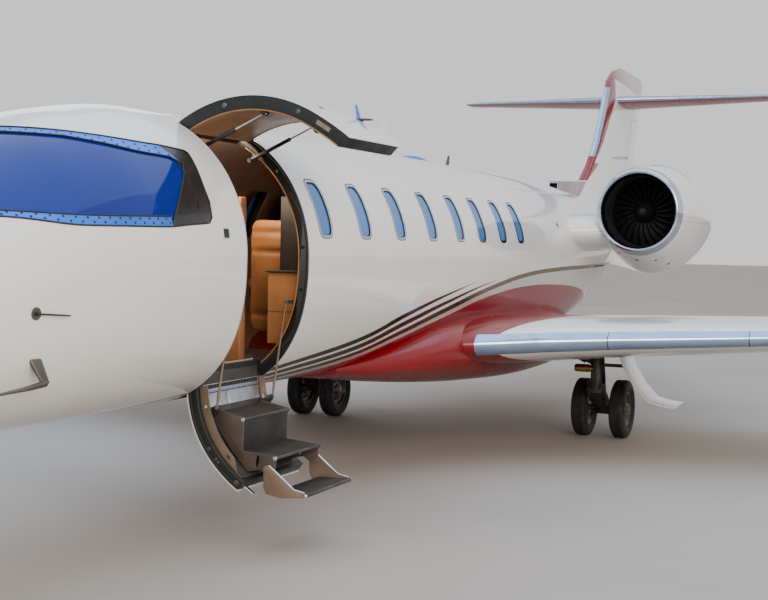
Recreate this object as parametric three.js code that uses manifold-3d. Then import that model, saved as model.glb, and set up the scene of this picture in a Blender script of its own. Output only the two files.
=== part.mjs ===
// Twin-engined business jet parked on its gear, with its clamshell entry door open.
// Millimetres. X forward, Y to port, Z up, the ground at Z = 0 and the middle of the length at X = 0.
// Places along the length are given as stations, which count aft from the nose tip.
import * as THREE from 'three';
import { mergeVertices } from 'three/addons/utils/BufferGeometryUtils.js';
import Module from 'manifold-3d';

const wasm = await Module();
wasm.setup();

// Driving dimensions
const LENGTH = 17680;
const NOSE_X = LENGTH / 2;
const HALF_WIDTH = 852;
const CROWN_Z = 2501;
const KEEL_Z = 798;
const WIDEST_Z = 1666;
const UPPER_POWER = 2.04;
const LOWER_POWER = 2.46;
const WALL = 72;
const TAIL_WALL = 30;
const SEAT_GAP = 0.3;
const MOVING_GAP = 6;
const END_GAP = 14;
const BAY_GAP = 9;

// Where the fuselage shells meet
const RADOME_END = 900;
const NOSE_BULKHEAD = 80;
const COCKPIT_END = 3900;
const CABIN_END = 10250;
const TAIL_HOLLOW_END = 16000;
const TAIL_END = 17040;
const BODY_SIDES = 28;
const WHEEL_SIDES = 20;

const ROOT_FRAME = new THREE.Group();

// Materials
const paint = (color, roughness = 0.25, metalness = 0.0) =>
  new THREE.MeshStandardMaterial({ color, roughness, metalness });
const WHITE = paint(0xf1efe9);
const RED = paint(0xa01425);
const POLISHED = paint(0xc9ccd2, 0.15, 1.0);
const GLASS = paint(0x14264f, 0.05);
const DARK_METAL = paint(0x2a2b2e, 0.45, 0.8);
const BRONZE = paint(0x8d6f52, 0.4, 0.6);
const TYRE = paint(0x151515, 0.8);
const RIM = paint(0x77787b, 0.4, 0.8);
const LEATHER = paint(0x9c6236, 0.6);
const TRIM = paint(0x2b2622, 0.7);

// Basic solids, each a closed body with its faces pointing out

function signedVolume(position, index) {
  let volume = 0;
  const [a, b, c] = [new THREE.Vector3(), new THREE.Vector3(), new THREE.Vector3()];
  for (let i = 0; i < index.length; i += 3) {
    a.fromBufferAttribute(position, index[i]);
    b.fromBufferAttribute(position, index[i + 1]);
    c.fromBufferAttribute(position, index[i + 2]);
    volume += a.dot(b.cross(c)) / 6;
  }
  return volume;
}

function solidOf(geometry) {
  const bare = geometry.clone();
  bare.deleteAttribute('normal');
  bare.deleteAttribute('uv');
  const merged = mergeVertices(bare, 1e-3);
  const index = Uint32Array.from(merged.index.array);
  if (signedVolume(merged.attributes.position, index) < 0) {
    index.reverse();
  }
  return new wasm.Manifold(
    new wasm.Mesh({
      numProp: 3,
      vertProperties: Float32Array.from(merged.attributes.position.array),
      triVerts: index,
    }),
  );
}

function geometryOf(solid) {
  const { vertProperties, triVerts, numProp } = solid.getMesh();
  const points = new Float32Array((vertProperties.length / numProp) * 3);
  for (let i = 0; i < points.length / 3; i += 1) {
    points.set(vertProperties.subarray(i * numProp, i * numProp + 3), i * 3);
  }
  const geometry = new THREE.BufferGeometry();
  geometry.setAttribute('position', new THREE.BufferAttribute(points, 3));
  geometry.setIndex(new THREE.BufferAttribute(Uint32Array.from(triVerts), 1));
  geometry.computeVertexNormals();
  return geometry;
}

const x = (station) => NOSE_X - station;
const all = (solids) => solids.reduce((sum, solid) => sum.add(solid));

// A skin through rings of equal length, closed by a fan over each end ring
function loft(rings) {
  const count = rings[0].length;
  const points = rings.flat();
  const index = [];
  for (let r = 0; r < rings.length - 1; r += 1) {
    for (let i = 0; i < count; i += 1) {
      const j = (i + 1) % count;
      const [a, b] = [r * count + i, r * count + j];
      index.push(a, b, b + count, a, b + count, a + count);
    }
  }
  for (const [ring, flip] of [[0, true], [rings.length - 1, false]]) {
    const centre = rings[ring].reduce((sum, p) => sum.add(p), new THREE.Vector3()).divideScalar(count);
    const hub = points.push(centre) - 1;
    for (let i = 0; i < count; i += 1) {
      const [a, b] = [ring * count + i, ring * count + ((i + 1) % count)];
      index.push(...(flip ? [hub, b, a] : [hub, a, b]));
    }
  }
  const geometry = new THREE.BufferGeometry().setFromPoints(points);
  geometry.setIndex(index);
  return solidOf(geometry);
}

// A flat outline given as [first, second] pairs and pushed along the third axis
function prism(outline, axis, from, to) {
  const shape = new THREE.Shape(outline.map(([a, b]) => new THREE.Vector2(a, b)));
  const geometry = new THREE.ExtrudeGeometry(shape, { depth: to - from, bevelEnabled: false });
  geometry.translate(0, 0, from);
  const turn = {
    x: new THREE.Matrix4().set(0, 0, 1, 0, 1, 0, 0, 0, 0, 1, 0, 0, 0, 0, 0, 1),
    y: new THREE.Matrix4().set(1, 0, 0, 0, 0, 0, 1, 0, 0, 1, 0, 0, 0, 0, 0, 1),
    z: new THREE.Matrix4(),
  }[axis];
  geometry.applyMatrix4(turn);
  return solidOf(geometry);
}

function box(low, high) {
  const size = high.map((value, i) => value - low[i]);
  const geometry = new THREE.BoxGeometry(...size);
  geometry.translate(...low.map((value, i) => value + size[i] / 2));
  return solidOf(geometry);
}

// A round bar from one point to another
function bar(from, to, radius, endRadius = radius, sides = 10) {
  const [start, end] = [new THREE.Vector3(...from), new THREE.Vector3(...to)];
  const along = end.clone().sub(start);
  const geometry = new THREE.CylinderGeometry(endRadius, radius, along.length(), sides);
  geometry.applyQuaternion(
    new THREE.Quaternion().setFromUnitVectors(new THREE.Vector3(0, 1, 0), along.clone().normalize()),
  );
  geometry.translate(...start.add(end).multiplyScalar(0.5).toArray());
  return solidOf(geometry);
}

// A profile of [place, radius] pairs spun round the X line
function spinX(profile, sides) {
  const geometry = new THREE.LatheGeometry(profile.map(([place, r]) => new THREE.Vector2(r, place)), sides);
  geometry.rotateZ(-Math.PI / 2);
  return solidOf(geometry);
}

// A solid turned by degrees round a line along X through (y, z)
function turnX(solid, degrees, [y, z]) {
  return solid.translate([0, -y, -z]).rotate([degrees, 0, 0]).translate([0, y, z]);
}

const mirrored = (solid) => solid.mirror([0, 1, 0]);
const SIDES = [['left', 1], ['right', -1]];
const onSide = (solid, side) => (side > 0 ? solid : mirrored(solid));

function place(name, solid, material) {
  const mesh = new THREE.Mesh(geometryOf(solid), material);
  mesh.name = name;
  ROOT_FRAME.add(mesh);
}

// Fuselage

// station, half width, crown Z, keel Z, widest Z
const BODY = [
  [0, 18, 1216, 1180, 1198],
  [60, 84, 1262, 1128, 1196],
  [220, 172, 1336, 1066, 1196],
  [500, 286, 1424, 1000, 1205],
  [1000, 452, 1566, 922, 1240],
  [1700, 634, 1766, 855, 1330],
  [2100, 716, 1945, 828, 1420],
  [2500, 776, 2148, 810, 1520],
  [2900, 818, 2316, 802, 1600],
  [3300, 842, 2424, 799, 1648],
  [COCKPIT_END, HALF_WIDTH, CROWN_Z, KEEL_Z, WIDEST_Z],
  [CABIN_END, HALF_WIDTH, CROWN_Z, KEEL_Z, WIDEST_Z],
  [11300, 838, 2486, 842, 1676],
  [12500, 752, 2452, 1030, 1740],
  [13700, 596, 2368, 1330, 1880],
  [14900, 412, 2334, 1680, 2040],
  [16100, 226, 2326, 2010, 2180],
  [TAIL_END, 92, 2330, 2180, 2256],
];

function bodyRow(station) {
  const next = Math.max(1, BODY.findIndex((row) => row[0] >= station));
  const [before, after] = [BODY[next - 1], BODY[next]];
  const share = (station - before[0]) / (after[0] - before[0]);
  return before.map((value, i) => value + (after[i] - value) * share);
}

function bodyRing(station, grow) {
  const [, halfWidth, crown, keel, widest] = bodyRow(station);
  const ring = [];
  for (let i = 0; i < BODY_SIDES; i += 1) {
    const angle = (2 * Math.PI * i) / BODY_SIDES;
    const [c, s] = [Math.cos(angle), Math.sin(angle)];
    const power = s > 0 ? UPPER_POWER : LOWER_POWER;
    const height = s > 0 ? crown - widest : widest - keel;
    ring.push(new THREE.Vector3(
      x(station),
      Math.sign(c) * Math.abs(c) ** (2 / power) * (halfWidth + grow),
      widest + Math.sign(s) * Math.abs(s) ** (2 / power) * (height + grow),
    ));
  }
  return ring;
}

function bodySolid(from, to, grow) {
  const stations = [from, ...BODY.map((row) => row[0]).filter((s) => s > from && s < to), to];
  return loft(stations.map((station) => bodyRing(station, grow)));
}

const OUTER = bodySolid(0, TAIL_END, 0);
const OUTER_CLEAR = bodySolid(0, TAIL_END, 2 * SEAT_GAP);
const INNER = bodySolid(RADOME_END + NOSE_BULKHEAD, CABIN_END, -WALL)
  .add(bodySolid(CABIN_END, TAIL_HOLLOW_END, -TAIL_WALL));
const SHELL = OUTER.subtract(INNER);

const slice = (from, to) => box([x(to), -3000, -500], [x(from), 3000, 5000]);

// Windshield: two panes that wrap round to the side, between a centre post and the cabin
const SHIELD = { postHalf: 28, out: 3, in: 28 };
// Station, Z, and the way that an inset draws the corner in along the length and up
const PANE_CORNERS = [
  [1600, 1850, 0, 1],
  [2340, 1840, 0, 1],
  [2740, 1816, 0, 1],
  [3690, 1818, 1, 1],
  [3740, 1880, 1, 0],
  [3742, 2038, 1, 0],
  [3756, 2150, 1, 0],
  [3730, 2224, 1, -1],
  [3576, 2247, 1, -1],
  [3137, 2273, 0, -1],
  [2854, 2288, 0, -1],
  [1600, 2290, 0, -1],
];
const paneOutline = (inset) =>
  PANE_CORNERS.map(([station, z, along, up]) => [x(station - along * inset), z + up * inset]);
const paneCutter = (side, inset) =>
  onSide(prism(paneOutline(inset), 'y', SHIELD.postHalf + inset, 1200), side);

// Cabin windows: tall, with round corners
const WINDOW = { low: 1781, high: 2148, halfWidth: 101, power: 4.2, points: 16 };
const WINDOW_STATIONS = [5091, 5693, 6298, 6917, 7519, 8049, 8593, 9095];

function ovalCutter(station, side, inset) {
  const outline = [];
  const halfHeight = (WINDOW.high - WINDOW.low) / 2 - inset;
  for (let i = 0; i < WINDOW.points; i += 1) {
    const angle = (2 * Math.PI * i) / WINDOW.points;
    const [c, s] = [Math.cos(angle), Math.sin(angle)];
    outline.push([
      x(station) + Math.sign(c) * Math.abs(c) ** (2 / WINDOW.power) * (WINDOW.halfWidth - inset),
      (WINDOW.low + WINDOW.high) / 2 + Math.sign(s) * Math.abs(s) ** (2 / WINDOW.power) * halfHeight,
    ]);
  }
  return onSide(prism(outline, 'y', 400, 1200), side);
}

// Entry door: two leaves that close on each other at SPLIT_Z
const DOOR = { front: 4071, aft: 4826, splitZ: 1422 };
const UPPER_HINGE = [386, 2411];
const LOWER_HINGE = [477, 896];
const UPPER_OPEN = 60.2;
const LOWER_OPEN = 113.8;
const UPPER_EDGE = [-0.45, -0.893];
const LOWER_EDGE = [-0.35, 0.937];

// How far the doorway's edges run past and inside each hinge line, and its open inner and outer sides
const DOORWAY = { past: 60, upperIn: 110, lowerIn: 130, inner: [300, 1080, 2200], outer: [1300, 780, 2600] };

// The doorway's outline in Y and Z, drawn in by an inset at both hinge lines
function doorwayOutline(inset) {
  const [uy, uz] = UPPER_EDGE;
  const [ly, lz] = LOWER_EDGE;
  const top = [UPPER_HINGE[0] - uz * inset, UPPER_HINGE[1] + uy * inset];
  const low = [LOWER_HINGE[0] + lz * inset, LOWER_HINGE[1] - ly * inset];
  const { past, upperIn, lowerIn, inner, outer } = DOORWAY;
  return [
    [top[0] - uy * past, top[1] - uz * past],
    [top[0] + uy * upperIn, top[1] + uz * upperIn],
    [inner[0], inner[2]],
    [inner[0], inner[1]],
    [low[0] + ly * lowerIn, low[1] + lz * lowerIn],
    [low[0] - ly * past, low[1] - lz * past],
    [outer[0], outer[1]],
    [outer[0], outer[2]],
  ];
}
const doorway = (inset) =>
  prism(doorwayOutline(inset), 'x', x(DOOR.aft - inset), x(DOOR.front + inset));

// Hinge tubes: the leaf's own radius, the bore that it turns in, how far the bore stops short of the doorway,
// and how far the leaf's tube stops short of the bore
const HINGE = { leaf: 8.4, bore: 9, short: 60, play: 1, sides: 12 };
const hingeTube = ([y, z], radius, play = 0) => bar(
  [x(DOOR.aft - HINGE.short - play), y, z], [x(DOOR.front + HINGE.short + play), y, z],
  radius, radius, HINGE.sides,
);

// Baggage door in the port side, below the engine
const BAGGAGE = { front: 11960, aft: 12640, low: 1240, high: 1560, skinY: 640, sillRise: 0.383 };
const BAGGAGE_HINGE = [[x(11900), 790, 1557], [x(12700), 714, 1557]];
const baggageSill = (y) => BAGGAGE.low + (BAGGAGE.skinY - y) * BAGGAGE.sillRise;
const baggageCutter = (inset) => prism([
  [300, baggageSill(300) + inset], [1100, baggageSill(1100) + inset],
  [1100, BAGGAGE.high - inset], [300, BAGGAGE.high - inset],
], 'x', x(BAGGAGE.aft - inset), x(BAGGAGE.front + inset));

// The shares of the hinge line that the bore takes
const BAGGAGE_BORE = [0.11, 0.89];

function baggageTube(radius, play = 0) {
  const [front, aft] = BAGGAGE_HINGE.map((point) => new THREE.Vector3(...point));
  const run = aft.clone().sub(front);
  const short = play / run.length();
  const start = front.clone().addScaledVector(run, BAGGAGE_BORE[0] + short).toArray();
  const end = front.clone().addScaledVector(run, BAGGAGE_BORE[1] - short).toArray();
  return bar(start, end, radius, radius, HINGE.sides);
}

// Door struts: the frame pin, the pin on the open upper door, and the two stations
const STRUT = {
  frame: [465, 2247],
  door: [925, 2458],
  stations: [['front', 4118, 1], ['aft', 4779, -1]],
  tubeRadius: 12,
  boreRadius: 7.4,
  rodRadius: 6.2,
  eyeRadius: 14,
  rodEyeRadius: 10,
  tubeShare: 0.6,
  rodStartShare: 0.39,
  eyeHalf: 13,
  lugHalf: 16,
  lugReach: 60,
  postFrom: 34,
  postReach: 26,
  postRise: 28,
  doorLugHalf: 14,
  doorLugReach: 22,
  doorLugRise: 62,
};

// Stays between the door frame and the open lower door
const STAY = {
  frame: [722, 1392],
  door: [640, 812],
  stations: [['front', 4126, 1], ['aft', 4783, -1]],
  radius: 7,
  eyeRadius: 10,
  lugHalf: 14,
  lugReach: 70,
  postFrom: 48,
  postReach: 22,
  postOut: 26,
  bracketWidth: 16,
};
// The bracket on the lower door that holds a stay's foot, as Y and Z from its pin
const STAY_BRACKET = [[-90, -40], [-14, 14], [14, 14], [14, -14], [-60, -90]];

const strutPoint = (share, station) => [
  x(station),
  STRUT.frame[0] + (STRUT.door[0] - STRUT.frame[0]) * share,
  STRUT.frame[1] + (STRUT.door[1] - STRUT.frame[1]) * share,
];

// A lug beside a pin: the block between the pin's end and the doorway's nearest edge
function lug(station, facing, eyeHalf, [y, z], half, reach) {
  const face = x(station) + facing * (eyeHalf + SEAT_GAP);
  const back = face + facing * reach;
  return box([Math.min(face, back), y - half, z - half], [Math.max(face, back), y + half, z + half]);
}

// Wheels
const FACET = Math.PI / WHEEL_SIDES;
const MAIN_WHEEL = { station: 9730, track: 2951, twin: 354, radius: 270, halfWidth: 73, rim: 158 };
const NOSE_WHEEL = { station: 1850, trail: 40, radius: 216, halfWidth: 56, rim: 104 };

function fuselageCabin() {
  const cuts = [doorway(0), hingeTube(UPPER_HINGE, HINGE.bore), hingeTube(LOWER_HINGE, HINGE.bore)];
  for (const [, side] of SIDES) {
    cuts.push(...WINDOW_STATIONS.map((station) => ovalCutter(station, side, 0)));
  }
  let shell = SHELL.intersect(slice(COCKPIT_END + SEAT_GAP, CABIN_END)).subtract(all(cuts));
  for (const [, station, facing] of STRUT.stations) {
    const [y, z] = STRUT.frame;
    const root = lug(station, facing, STRUT.eyeHalf, [y, z], STRUT.lugHalf, STRUT.lugReach);
    const above = [y, z + STRUT.postRise];
    const post = lug(station, facing, STRUT.eyeHalf + STRUT.postFrom, above, STRUT.lugHalf, STRUT.postReach);
    shell = shell.add(root).add(post);
  }
  for (const [, station, facing] of STAY.stations) {
    const [y, z] = STAY.frame;
    const root = lug(station, facing, STAY.radius, [y, z], STAY.lugHalf, STAY.lugReach);
    const post = lug(
      station, facing, STAY.radius + STAY.postFrom, [y + STAY.postOut, z], STAY.lugHalf, STAY.postReach,
    );
    shell = shell.add(root).add(post);
  }
  return shell;
}

function upperDoor() {
  const above = box([-9000, 0, DOOR.splitZ + MOVING_GAP / 2], [9000, 2000, 3000]);
  const leaf = SHELL.intersect(doorway(MOVING_GAP)).intersect(above);
  const open = turnX(leaf.add(hingeTube(UPPER_HINGE, HINGE.leaf, HINGE.play)), UPPER_OPEN, UPPER_HINGE);
  const lugs = STRUT.stations.map(([, station, facing]) => {
    const { doorLugHalf: half, doorLugReach: reach, doorLugRise: rise } = STRUT;
    const root = lug(station, -facing, STRUT.eyeHalf, STRUT.door, half, reach);
    const [y, z] = STRUT.door;
    const face = x(station) - facing * (STRUT.eyeHalf + SEAT_GAP);
    const back = face - facing * reach;
    return root.add(box([Math.min(face, back), y - half, z], [Math.max(face, back), y + half, z + rise]));
  });
  return all([open, ...lugs]);
}

// Airstair on the lower door, in its open place, as Y and Z
const STAIR = { front: 4200, aft: 4750, cheek: 12, tread: 20 };
// Inner Y, inner Z, nosing Y, nosing Z
const TREADS = [
  [588, 776, 772, 752],
  [758, 566, 982, 548],
];
const RISER = [[750, 752], [772, 752], [764, 560], [742, 560]];
const CHEEK = [
  [560, 770], [588, 790], [772, 756], [764, 570], [984, 552], [975, 480], [925, 440], [880, 470], [800, 452],
  [700, 560], [600, 690],
];
const STEP_PIVOT = [932, 478];
const STEP = { arm: 10, pin: 9 };
const STEP_TREAD = [[968, 350], [1176, 362], [1180, 338], [968, 330]];
const STEP_ARM = [
  [908, 486], [922, 500], [944, 498], [1104, 374], [1172, 362],
  [1178, 338], [1010, 322], [930, 338], [912, 370],
];

function lowerDoor() {
  const below = box([-9000, 0, 0], [9000, 2000, DOOR.splitZ - MOVING_GAP / 2]);
  const leaf = SHELL.intersect(doorway(MOVING_GAP)).intersect(below);
  const open = turnX(leaf.add(hingeTube(LOWER_HINGE, HINGE.leaf, HINGE.play)), -LOWER_OPEN, LOWER_HINGE);
  const parts = [open];
  for (const [from, to] of [[STAIR.front, STAIR.front + STAIR.cheek], [STAIR.aft - STAIR.cheek, STAIR.aft]]) {
    parts.push(prism(CHEEK, 'x', x(to), x(from)));
  }
  for (const [innerY, innerZ, noseY, noseZ] of TREADS) {
    parts.push(prism([
      [innerY, innerZ], [noseY, noseZ], [noseY, noseZ - STAIR.tread], [innerY, innerZ - STAIR.tread],
    ], 'x', x(STAIR.aft), x(STAIR.front)));
  }
  parts.push(prism(RISER, 'x', x(STAIR.aft), x(STAIR.front)));
  for (const [, station, facing] of STAY.stations) {
    const face = x(station) - facing * (STAY.radius + SEAT_GAP);
    const back = face - facing * STAY.bracketWidth;
    const [y, z] = STAY.door;
    const outline = STAY_BRACKET.map(([out, up]) => [y + out, z + up]);
    parts.push(prism(outline, 'x', Math.min(face, back), Math.max(face, back)));
  }
  return all(parts);
}

function foldingStep() {
  const reach = MOVING_GAP + STEP.arm;
  const parts = [prism(STEP_TREAD, 'x', x(STAIR.aft + reach), x(STAIR.front - reach))];
  for (const [face, outward] of [[STAIR.front, -1], [STAIR.aft, 1]]) {
    const near = face + outward * MOVING_GAP;
    const far = face + outward * reach;
    parts.push(prism(STEP_ARM, 'x', x(Math.max(near, far)), x(Math.min(near, far))));
    parts.push(bar([x(far), ...STEP_PIVOT], [x(face + outward * SEAT_GAP), ...STEP_PIVOT], STEP.pin));
  }
  return all(parts);
}

// A short round eye along X at a pin's place in Y and Z
const eyeAt = (station, [y, z], half, radius) =>
  bar([x(station) - half, y, z], [x(station) + half, y, z], radius);

function strutTube(station) {
  const tube = bar(strutPoint(0, station), strutPoint(STRUT.tubeShare, station), STRUT.tubeRadius);
  const bore = bar(strutPoint(0.05, station), strutPoint(STRUT.tubeShare + 0.1, station), STRUT.boreRadius);
  return tube.add(eyeAt(station, STRUT.frame, STRUT.eyeHalf, STRUT.eyeRadius)).subtract(bore);
}

function strutRod(station) {
  const rod = bar(strutPoint(STRUT.rodStartShare, station), strutPoint(1, station), STRUT.rodRadius);
  return rod.add(eyeAt(station, STRUT.door, STRUT.eyeHalf, STRUT.rodEyeRadius));
}

function stay(station) {
  return all([
    bar([x(station), ...STAY.door], [x(station), ...STAY.frame], STAY.radius),
    ...[STAY.door, STAY.frame].map((pin) => eyeAt(station, pin, STAY.radius, STAY.eyeRadius)),
  ]);
}

// Cabin side panel with the window panes on its outer face
const LINER = { front: 4960, aft: 9290, low: 1700, high: 2225, depth: 8, margin: 10 };
const PANE = { out: 6, inset: 1.5 };

function cabinWindows(side) {
  const [front, aft] = [COCKPIT_END + LINER.margin, CABIN_END - LINER.margin];
  const liner = bodySolid(front, aft, -WALL - 2 * SEAT_GAP)
    .subtract(bodySolid(COCKPIT_END, CABIN_END, -WALL - LINER.depth));
  const band = box([x(LINER.aft), 300, LINER.low], [x(LINER.front), 1200, LINER.high]);
  const strip = liner.intersect(onSide(band, side));
  const glazing = bodySolid(front, aft, -PANE.out)
    .subtract(bodySolid(COCKPIT_END, CABIN_END, -WALL - LINER.depth / 2));
  const panes = WINDOW_STATIONS.map((station) => glazing.intersect(ovalCutter(station, side, PANE.inset)));
  return all([strip, ...panes]);
}

function windshield(side) {
  const glass = bodySolid(1500, COCKPIT_END - 10, -SHIELD.out)
    .subtract(bodySolid(1400, COCKPIT_END, -SHIELD.in));
  return glass.intersect(paneCutter(side, 1));
}

// Wing, tail and their moving surfaces

const AIRFOIL = [0, 0.015, 0.06, 0.16, 0.34, 0.56, 0.78, 1];
const foilHalf = (share, ratio) =>
  5 * ratio * (0.2969 * Math.sqrt(share) - 0.126 * share - 0.3516 * share ** 2
    + 0.2843 * share ** 3 - 0.1036 * share ** 4) + 0.0012;

// A foil section in the X direction; cant turns its thickness from Z towards -Y
function foilRing({ station, chord, y, z, ratio, cant }, grow) {
  const ring = [];
  const stretch = (chord + 2 * grow) / chord;
  const point = (share, sign) => {
    const offset = sign * (foilHalf(share, ratio) * chord + grow);
    return new THREE.Vector3(
      x(station - grow + share * chord * stretch),
      y - Math.sin(cant) * offset,
      z + Math.cos(cant) * offset,
    );
  };
  AIRFOIL.forEach((share) => ring.push(point(share, 1)));
  [...AIRFOIL].reverse().forEach((share) => ring.push(point(share, -1)));
  return ring;
}

const foil = (rows, grow = 0) => loft(rows.map((row) => foilRing(row, grow)));
const radians = THREE.MathUtils.degToRad;

// Y, leading edge station, trailing edge station, Z, thickness ratio, cant in degrees
const WING_ROWS = [
  [300, 7200, 10590, 939, 0.115, 0],
  [920, 7380, 10600, 966, 0.12, 0],
  [1150, 7520, 10604, 976, 0.122, 0],
  [1500, 7800, 10610, 991, 0.13, 0],
  [2000, 8035, 10618, 1013, 0.13, 0],
  [4500, 8810, 10659, 1122, 0.12, 0],
  [6960, 9572, 10699, 1230, 0.11, 0],
  [7130, 9650, 10706, 1262, 0.1, 40],
  [7208, 9800, 10716, 1380, 0.09, 68],
  [7268, 10360, 10850, 2230, 0.08, 82],
].map(([y, lead, trail, z, ratio, cant]) => ({
  y, z, ratio, station: lead, chord: trail - lead, cant: radians(cant),
}));

// The section between two rows, or past them, at a share of the way from one to the other
const rowBetween = (a, b, share) =>
  Object.fromEntries(Object.keys(a).map((key) => [key, a[key] + (b[key] - a[key]) * share]));

function rowAt(rows, key, value) {
  const next = rows.findIndex((row) => row[key] >= value);
  const [a, b] = [rows[next - 1], rows[next]];
  return rowBetween(a, b, (value - a[key]) / (b[key] - a[key]));
}
const wingAt = (y) => rowAt(WING_ROWS, 'y', y);

// A control surface: a round nose on the hinge line and a wedge to the trailing edge
function surfaceRing(row, hingeShare) {
  const steps = 6;
  const radius = foilHalf(hingeShare, row.ratio) * row.chord * 0.94;
  const hinge = row.station + hingeShare * row.chord;
  const ring = [];
  for (let i = 0; i <= steps; i += 1) {
    const angle = Math.PI * (0.5 + i / steps);
    ring.push([hinge + Math.cos(angle) * radius, Math.sin(angle) * radius]);
  }
  const tail = row.station + row.chord;
  ring.push([tail, -0.0012 * row.chord], [tail, 0.0012 * row.chord]);
  return { ring, hinge, radius };
}

const lifting = (row, [station, height]) => new THREE.Vector3(x(station), row.y, row.z + height);
const upright = (row, [station, height]) => new THREE.Vector3(x(station), height, row.z);

const PUT = { y: lifting, z: upright };

// The unit vector along a surface's hinge line, from its first row to its last
function hingeLine({ rows, hinge, key }) {
  const [start, end] = rows.map((row) => PUT[key](row, [surfaceRing(row, hinge).hinge, 0]));
  return end.sub(start).normalize();
}

// The tapered pin at each end of a hinge line
const PIN = { radius: 9, radiusShare: 0.6, tip: 1.2, sunk: 20, sides: 8 };

// The moving surface between two section rows, with a pin that reaches the end wall of its bay
function surface(control) {
  const { rows, hinge, key } = control;
  const put = PUT[key];
  const pinAxis = hingeLine(control);
  const tilt = Math.acos(Math.abs(pinAxis[key]));
  const reach = (END_GAP - SEAT_GAP - PIN.tip * Math.sin(tilt)) / Math.cos(tilt);
  const sections = rows.map((row) => surfaceRing(row, hinge));
  const body = loft(sections.map(({ ring }, i) => ring.map((p) => put(rows[i], p))));
  const pins = rows.map((row, i) => {
    const centre = put(row, [sections[i].hinge, 0]);
    const outward = i === 0 ? -1 : 1;
    const end = centre.clone().addScaledVector(pinAxis, outward * reach);
    const start = centre.clone().addScaledVector(pinAxis, -outward * PIN.sunk);
    const radius = Math.min(PIN.radius, sections[i].radius * PIN.radiusShare);
    return bar(start.toArray(), end.toArray(), radius, PIN.tip, PIN.sides);
  });
  return all([body, ...pins]);
}

// The bay that a moving surface needs in the fixed foil, longer than it at both ends of the hinge line
const BAY_REAR = 80;

function bay({ rows, hinge: hingeShare, key }, spread) {
  const past = END_GAP / (rows[1][key] - rows[0][key]);
  const ends = [rowBetween(...rows, -past), rowBetween(...rows, 1 + past)];
  return loft(ends.map((row) => {
    const { hinge, radius } = surfaceRing(row, hingeShare);
    const [front, rear] = [hinge - radius - BAY_GAP, row.station + row.chord + BAY_REAR];
    const corners = [[front, spread], [rear, spread], [rear, -spread], [front, -spread]];
    return corners.map((corner) => PUT[key](row, corner));
  }));
}

const FLAP = { rows: [wingAt(1080), wingAt(4380)], hinge: 0.79, key: 'y' };
const AILERON = { rows: [wingAt(4440), wingAt(6700)], hinge: 0.79, key: 'y' };
const WING_BAY = 300;

const WING_FULL = foil(WING_ROWS);
const WING_CLEAR = foil(WING_ROWS, 2 * SEAT_GAP);

function wing(side) {
  const fixed = WING_FULL
    .subtract(bay(FLAP, WING_BAY))
    .subtract(bay(AILERON, WING_BAY));
  return onSide(fixed, side).subtract(OUTER_CLEAR);
}

// Belly fairing: station, half width, top Z, bottom Z
const FAIRING_ROWS = [
  [6150, 420, 900, 790],
  [6700, 760, 1060, 716],
  [7400, 930, 1200, 640],
  [8300, 985, 1250, 570],
  [9600, 985, 1250, 515],
  [10700, 900, 1200, 520],
  [11500, 690, 1100, 660],
  [12200, 400, 960, 880],
];

const FAIRING = { sides: 24, power: 0.72 };

function fairing() {
  const rings = FAIRING_ROWS.map(([station, halfWidth, top, bottom]) => {
    const ring = [];
    for (let i = 0; i < FAIRING.sides; i += 1) {
      const angle = (2 * Math.PI * i) / FAIRING.sides;
      const [c, s] = [Math.cos(angle), Math.sin(angle)];
      ring.push(new THREE.Vector3(
        x(station),
        Math.sign(c) * Math.abs(c) ** FAIRING.power * halfWidth,
        (top + bottom) / 2 + Math.sign(s) * Math.abs(s) ** FAIRING.power * (top - bottom) / 2,
      ));
    }
    return ring;
  });
  return loft(rings)
    .subtract(OUTER_CLEAR)
    .subtract(WING_CLEAR)
    .subtract(mirrored(WING_CLEAR));
}

// Fin: Z, leading edge station, trailing edge station, thickness ratio
const FIN_ROWS = [
  [2250, 13560, 16950, 0.07],
  [2600, 14190, 17042, 0.075],
  [2850, 14570, 17120, 0.08],
  [3190, 14930, 17252, 0.085],
  [3800, 15350, 17490, 0.085],
  [4050, 15490, 17600, 0.08],
  [4210, 15760, LENGTH, 0.06],
  [4300, 16150, 17560, 0.03],
].map(([z, lead, trail, ratio]) => ({ z, ratio, station: lead, chord: trail - lead }));

function finRing(row) {
  const ring = [];
  const point = (share, sign) => new THREE.Vector3(
    x(row.station + share * row.chord),
    sign * foilHalf(share, row.ratio) * row.chord,
    row.z,
  );
  AIRFOIL.forEach((share) => ring.push(point(share, 1)));
  [...AIRFOIL].reverse().forEach((share) => ring.push(point(share, -1)));
  return ring;
}

const finAt = (z) => rowAt(FIN_ROWS, 'z', z);
const RUDDER = { rows: [finAt(2600), finAt(3640)], hinge: 0.72, key: 'z' };
const FIN_BAY = 400;

// Stabiliser: Y, leading edge station, trailing edge station, Z, thickness ratio
const TAILPLANE_ROWS = [
  [0, 15690, 17090, 3806, 0.1],
  [2560, 17030, 17590, 3954, 0.09],
  [2648, 17170, 17580, 3959, 0.06],
].map(([y, lead, trail, z, ratio]) => ({ y, z, ratio, station: lead, chord: trail - lead, cant: 0 }));

function tailplaneRows() {
  const starboard = TAILPLANE_ROWS.slice(1).reverse().map((row) => ({ ...row, y: -row.y }));
  return [...starboard, ...TAILPLANE_ROWS];
}
const tailAt = (y) => rowAt(TAILPLANE_ROWS, 'y', y);
const ELEVATOR = { rows: [tailAt(130), tailAt(2380)], hinge: 0.72, key: 'y' };
const TAILPLANE_BAY = 200;

// The scoop's top rises from its mouth to the fin, and its mouth opens just above the body
const SCOOP = {
  front: 13000, aft: 14420, low: 2300, high: 2545, rise: 68, round: 24,
  halfWidth: 60, mouth: 120, mouthLow: 2434, lip: 9,
};

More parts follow.
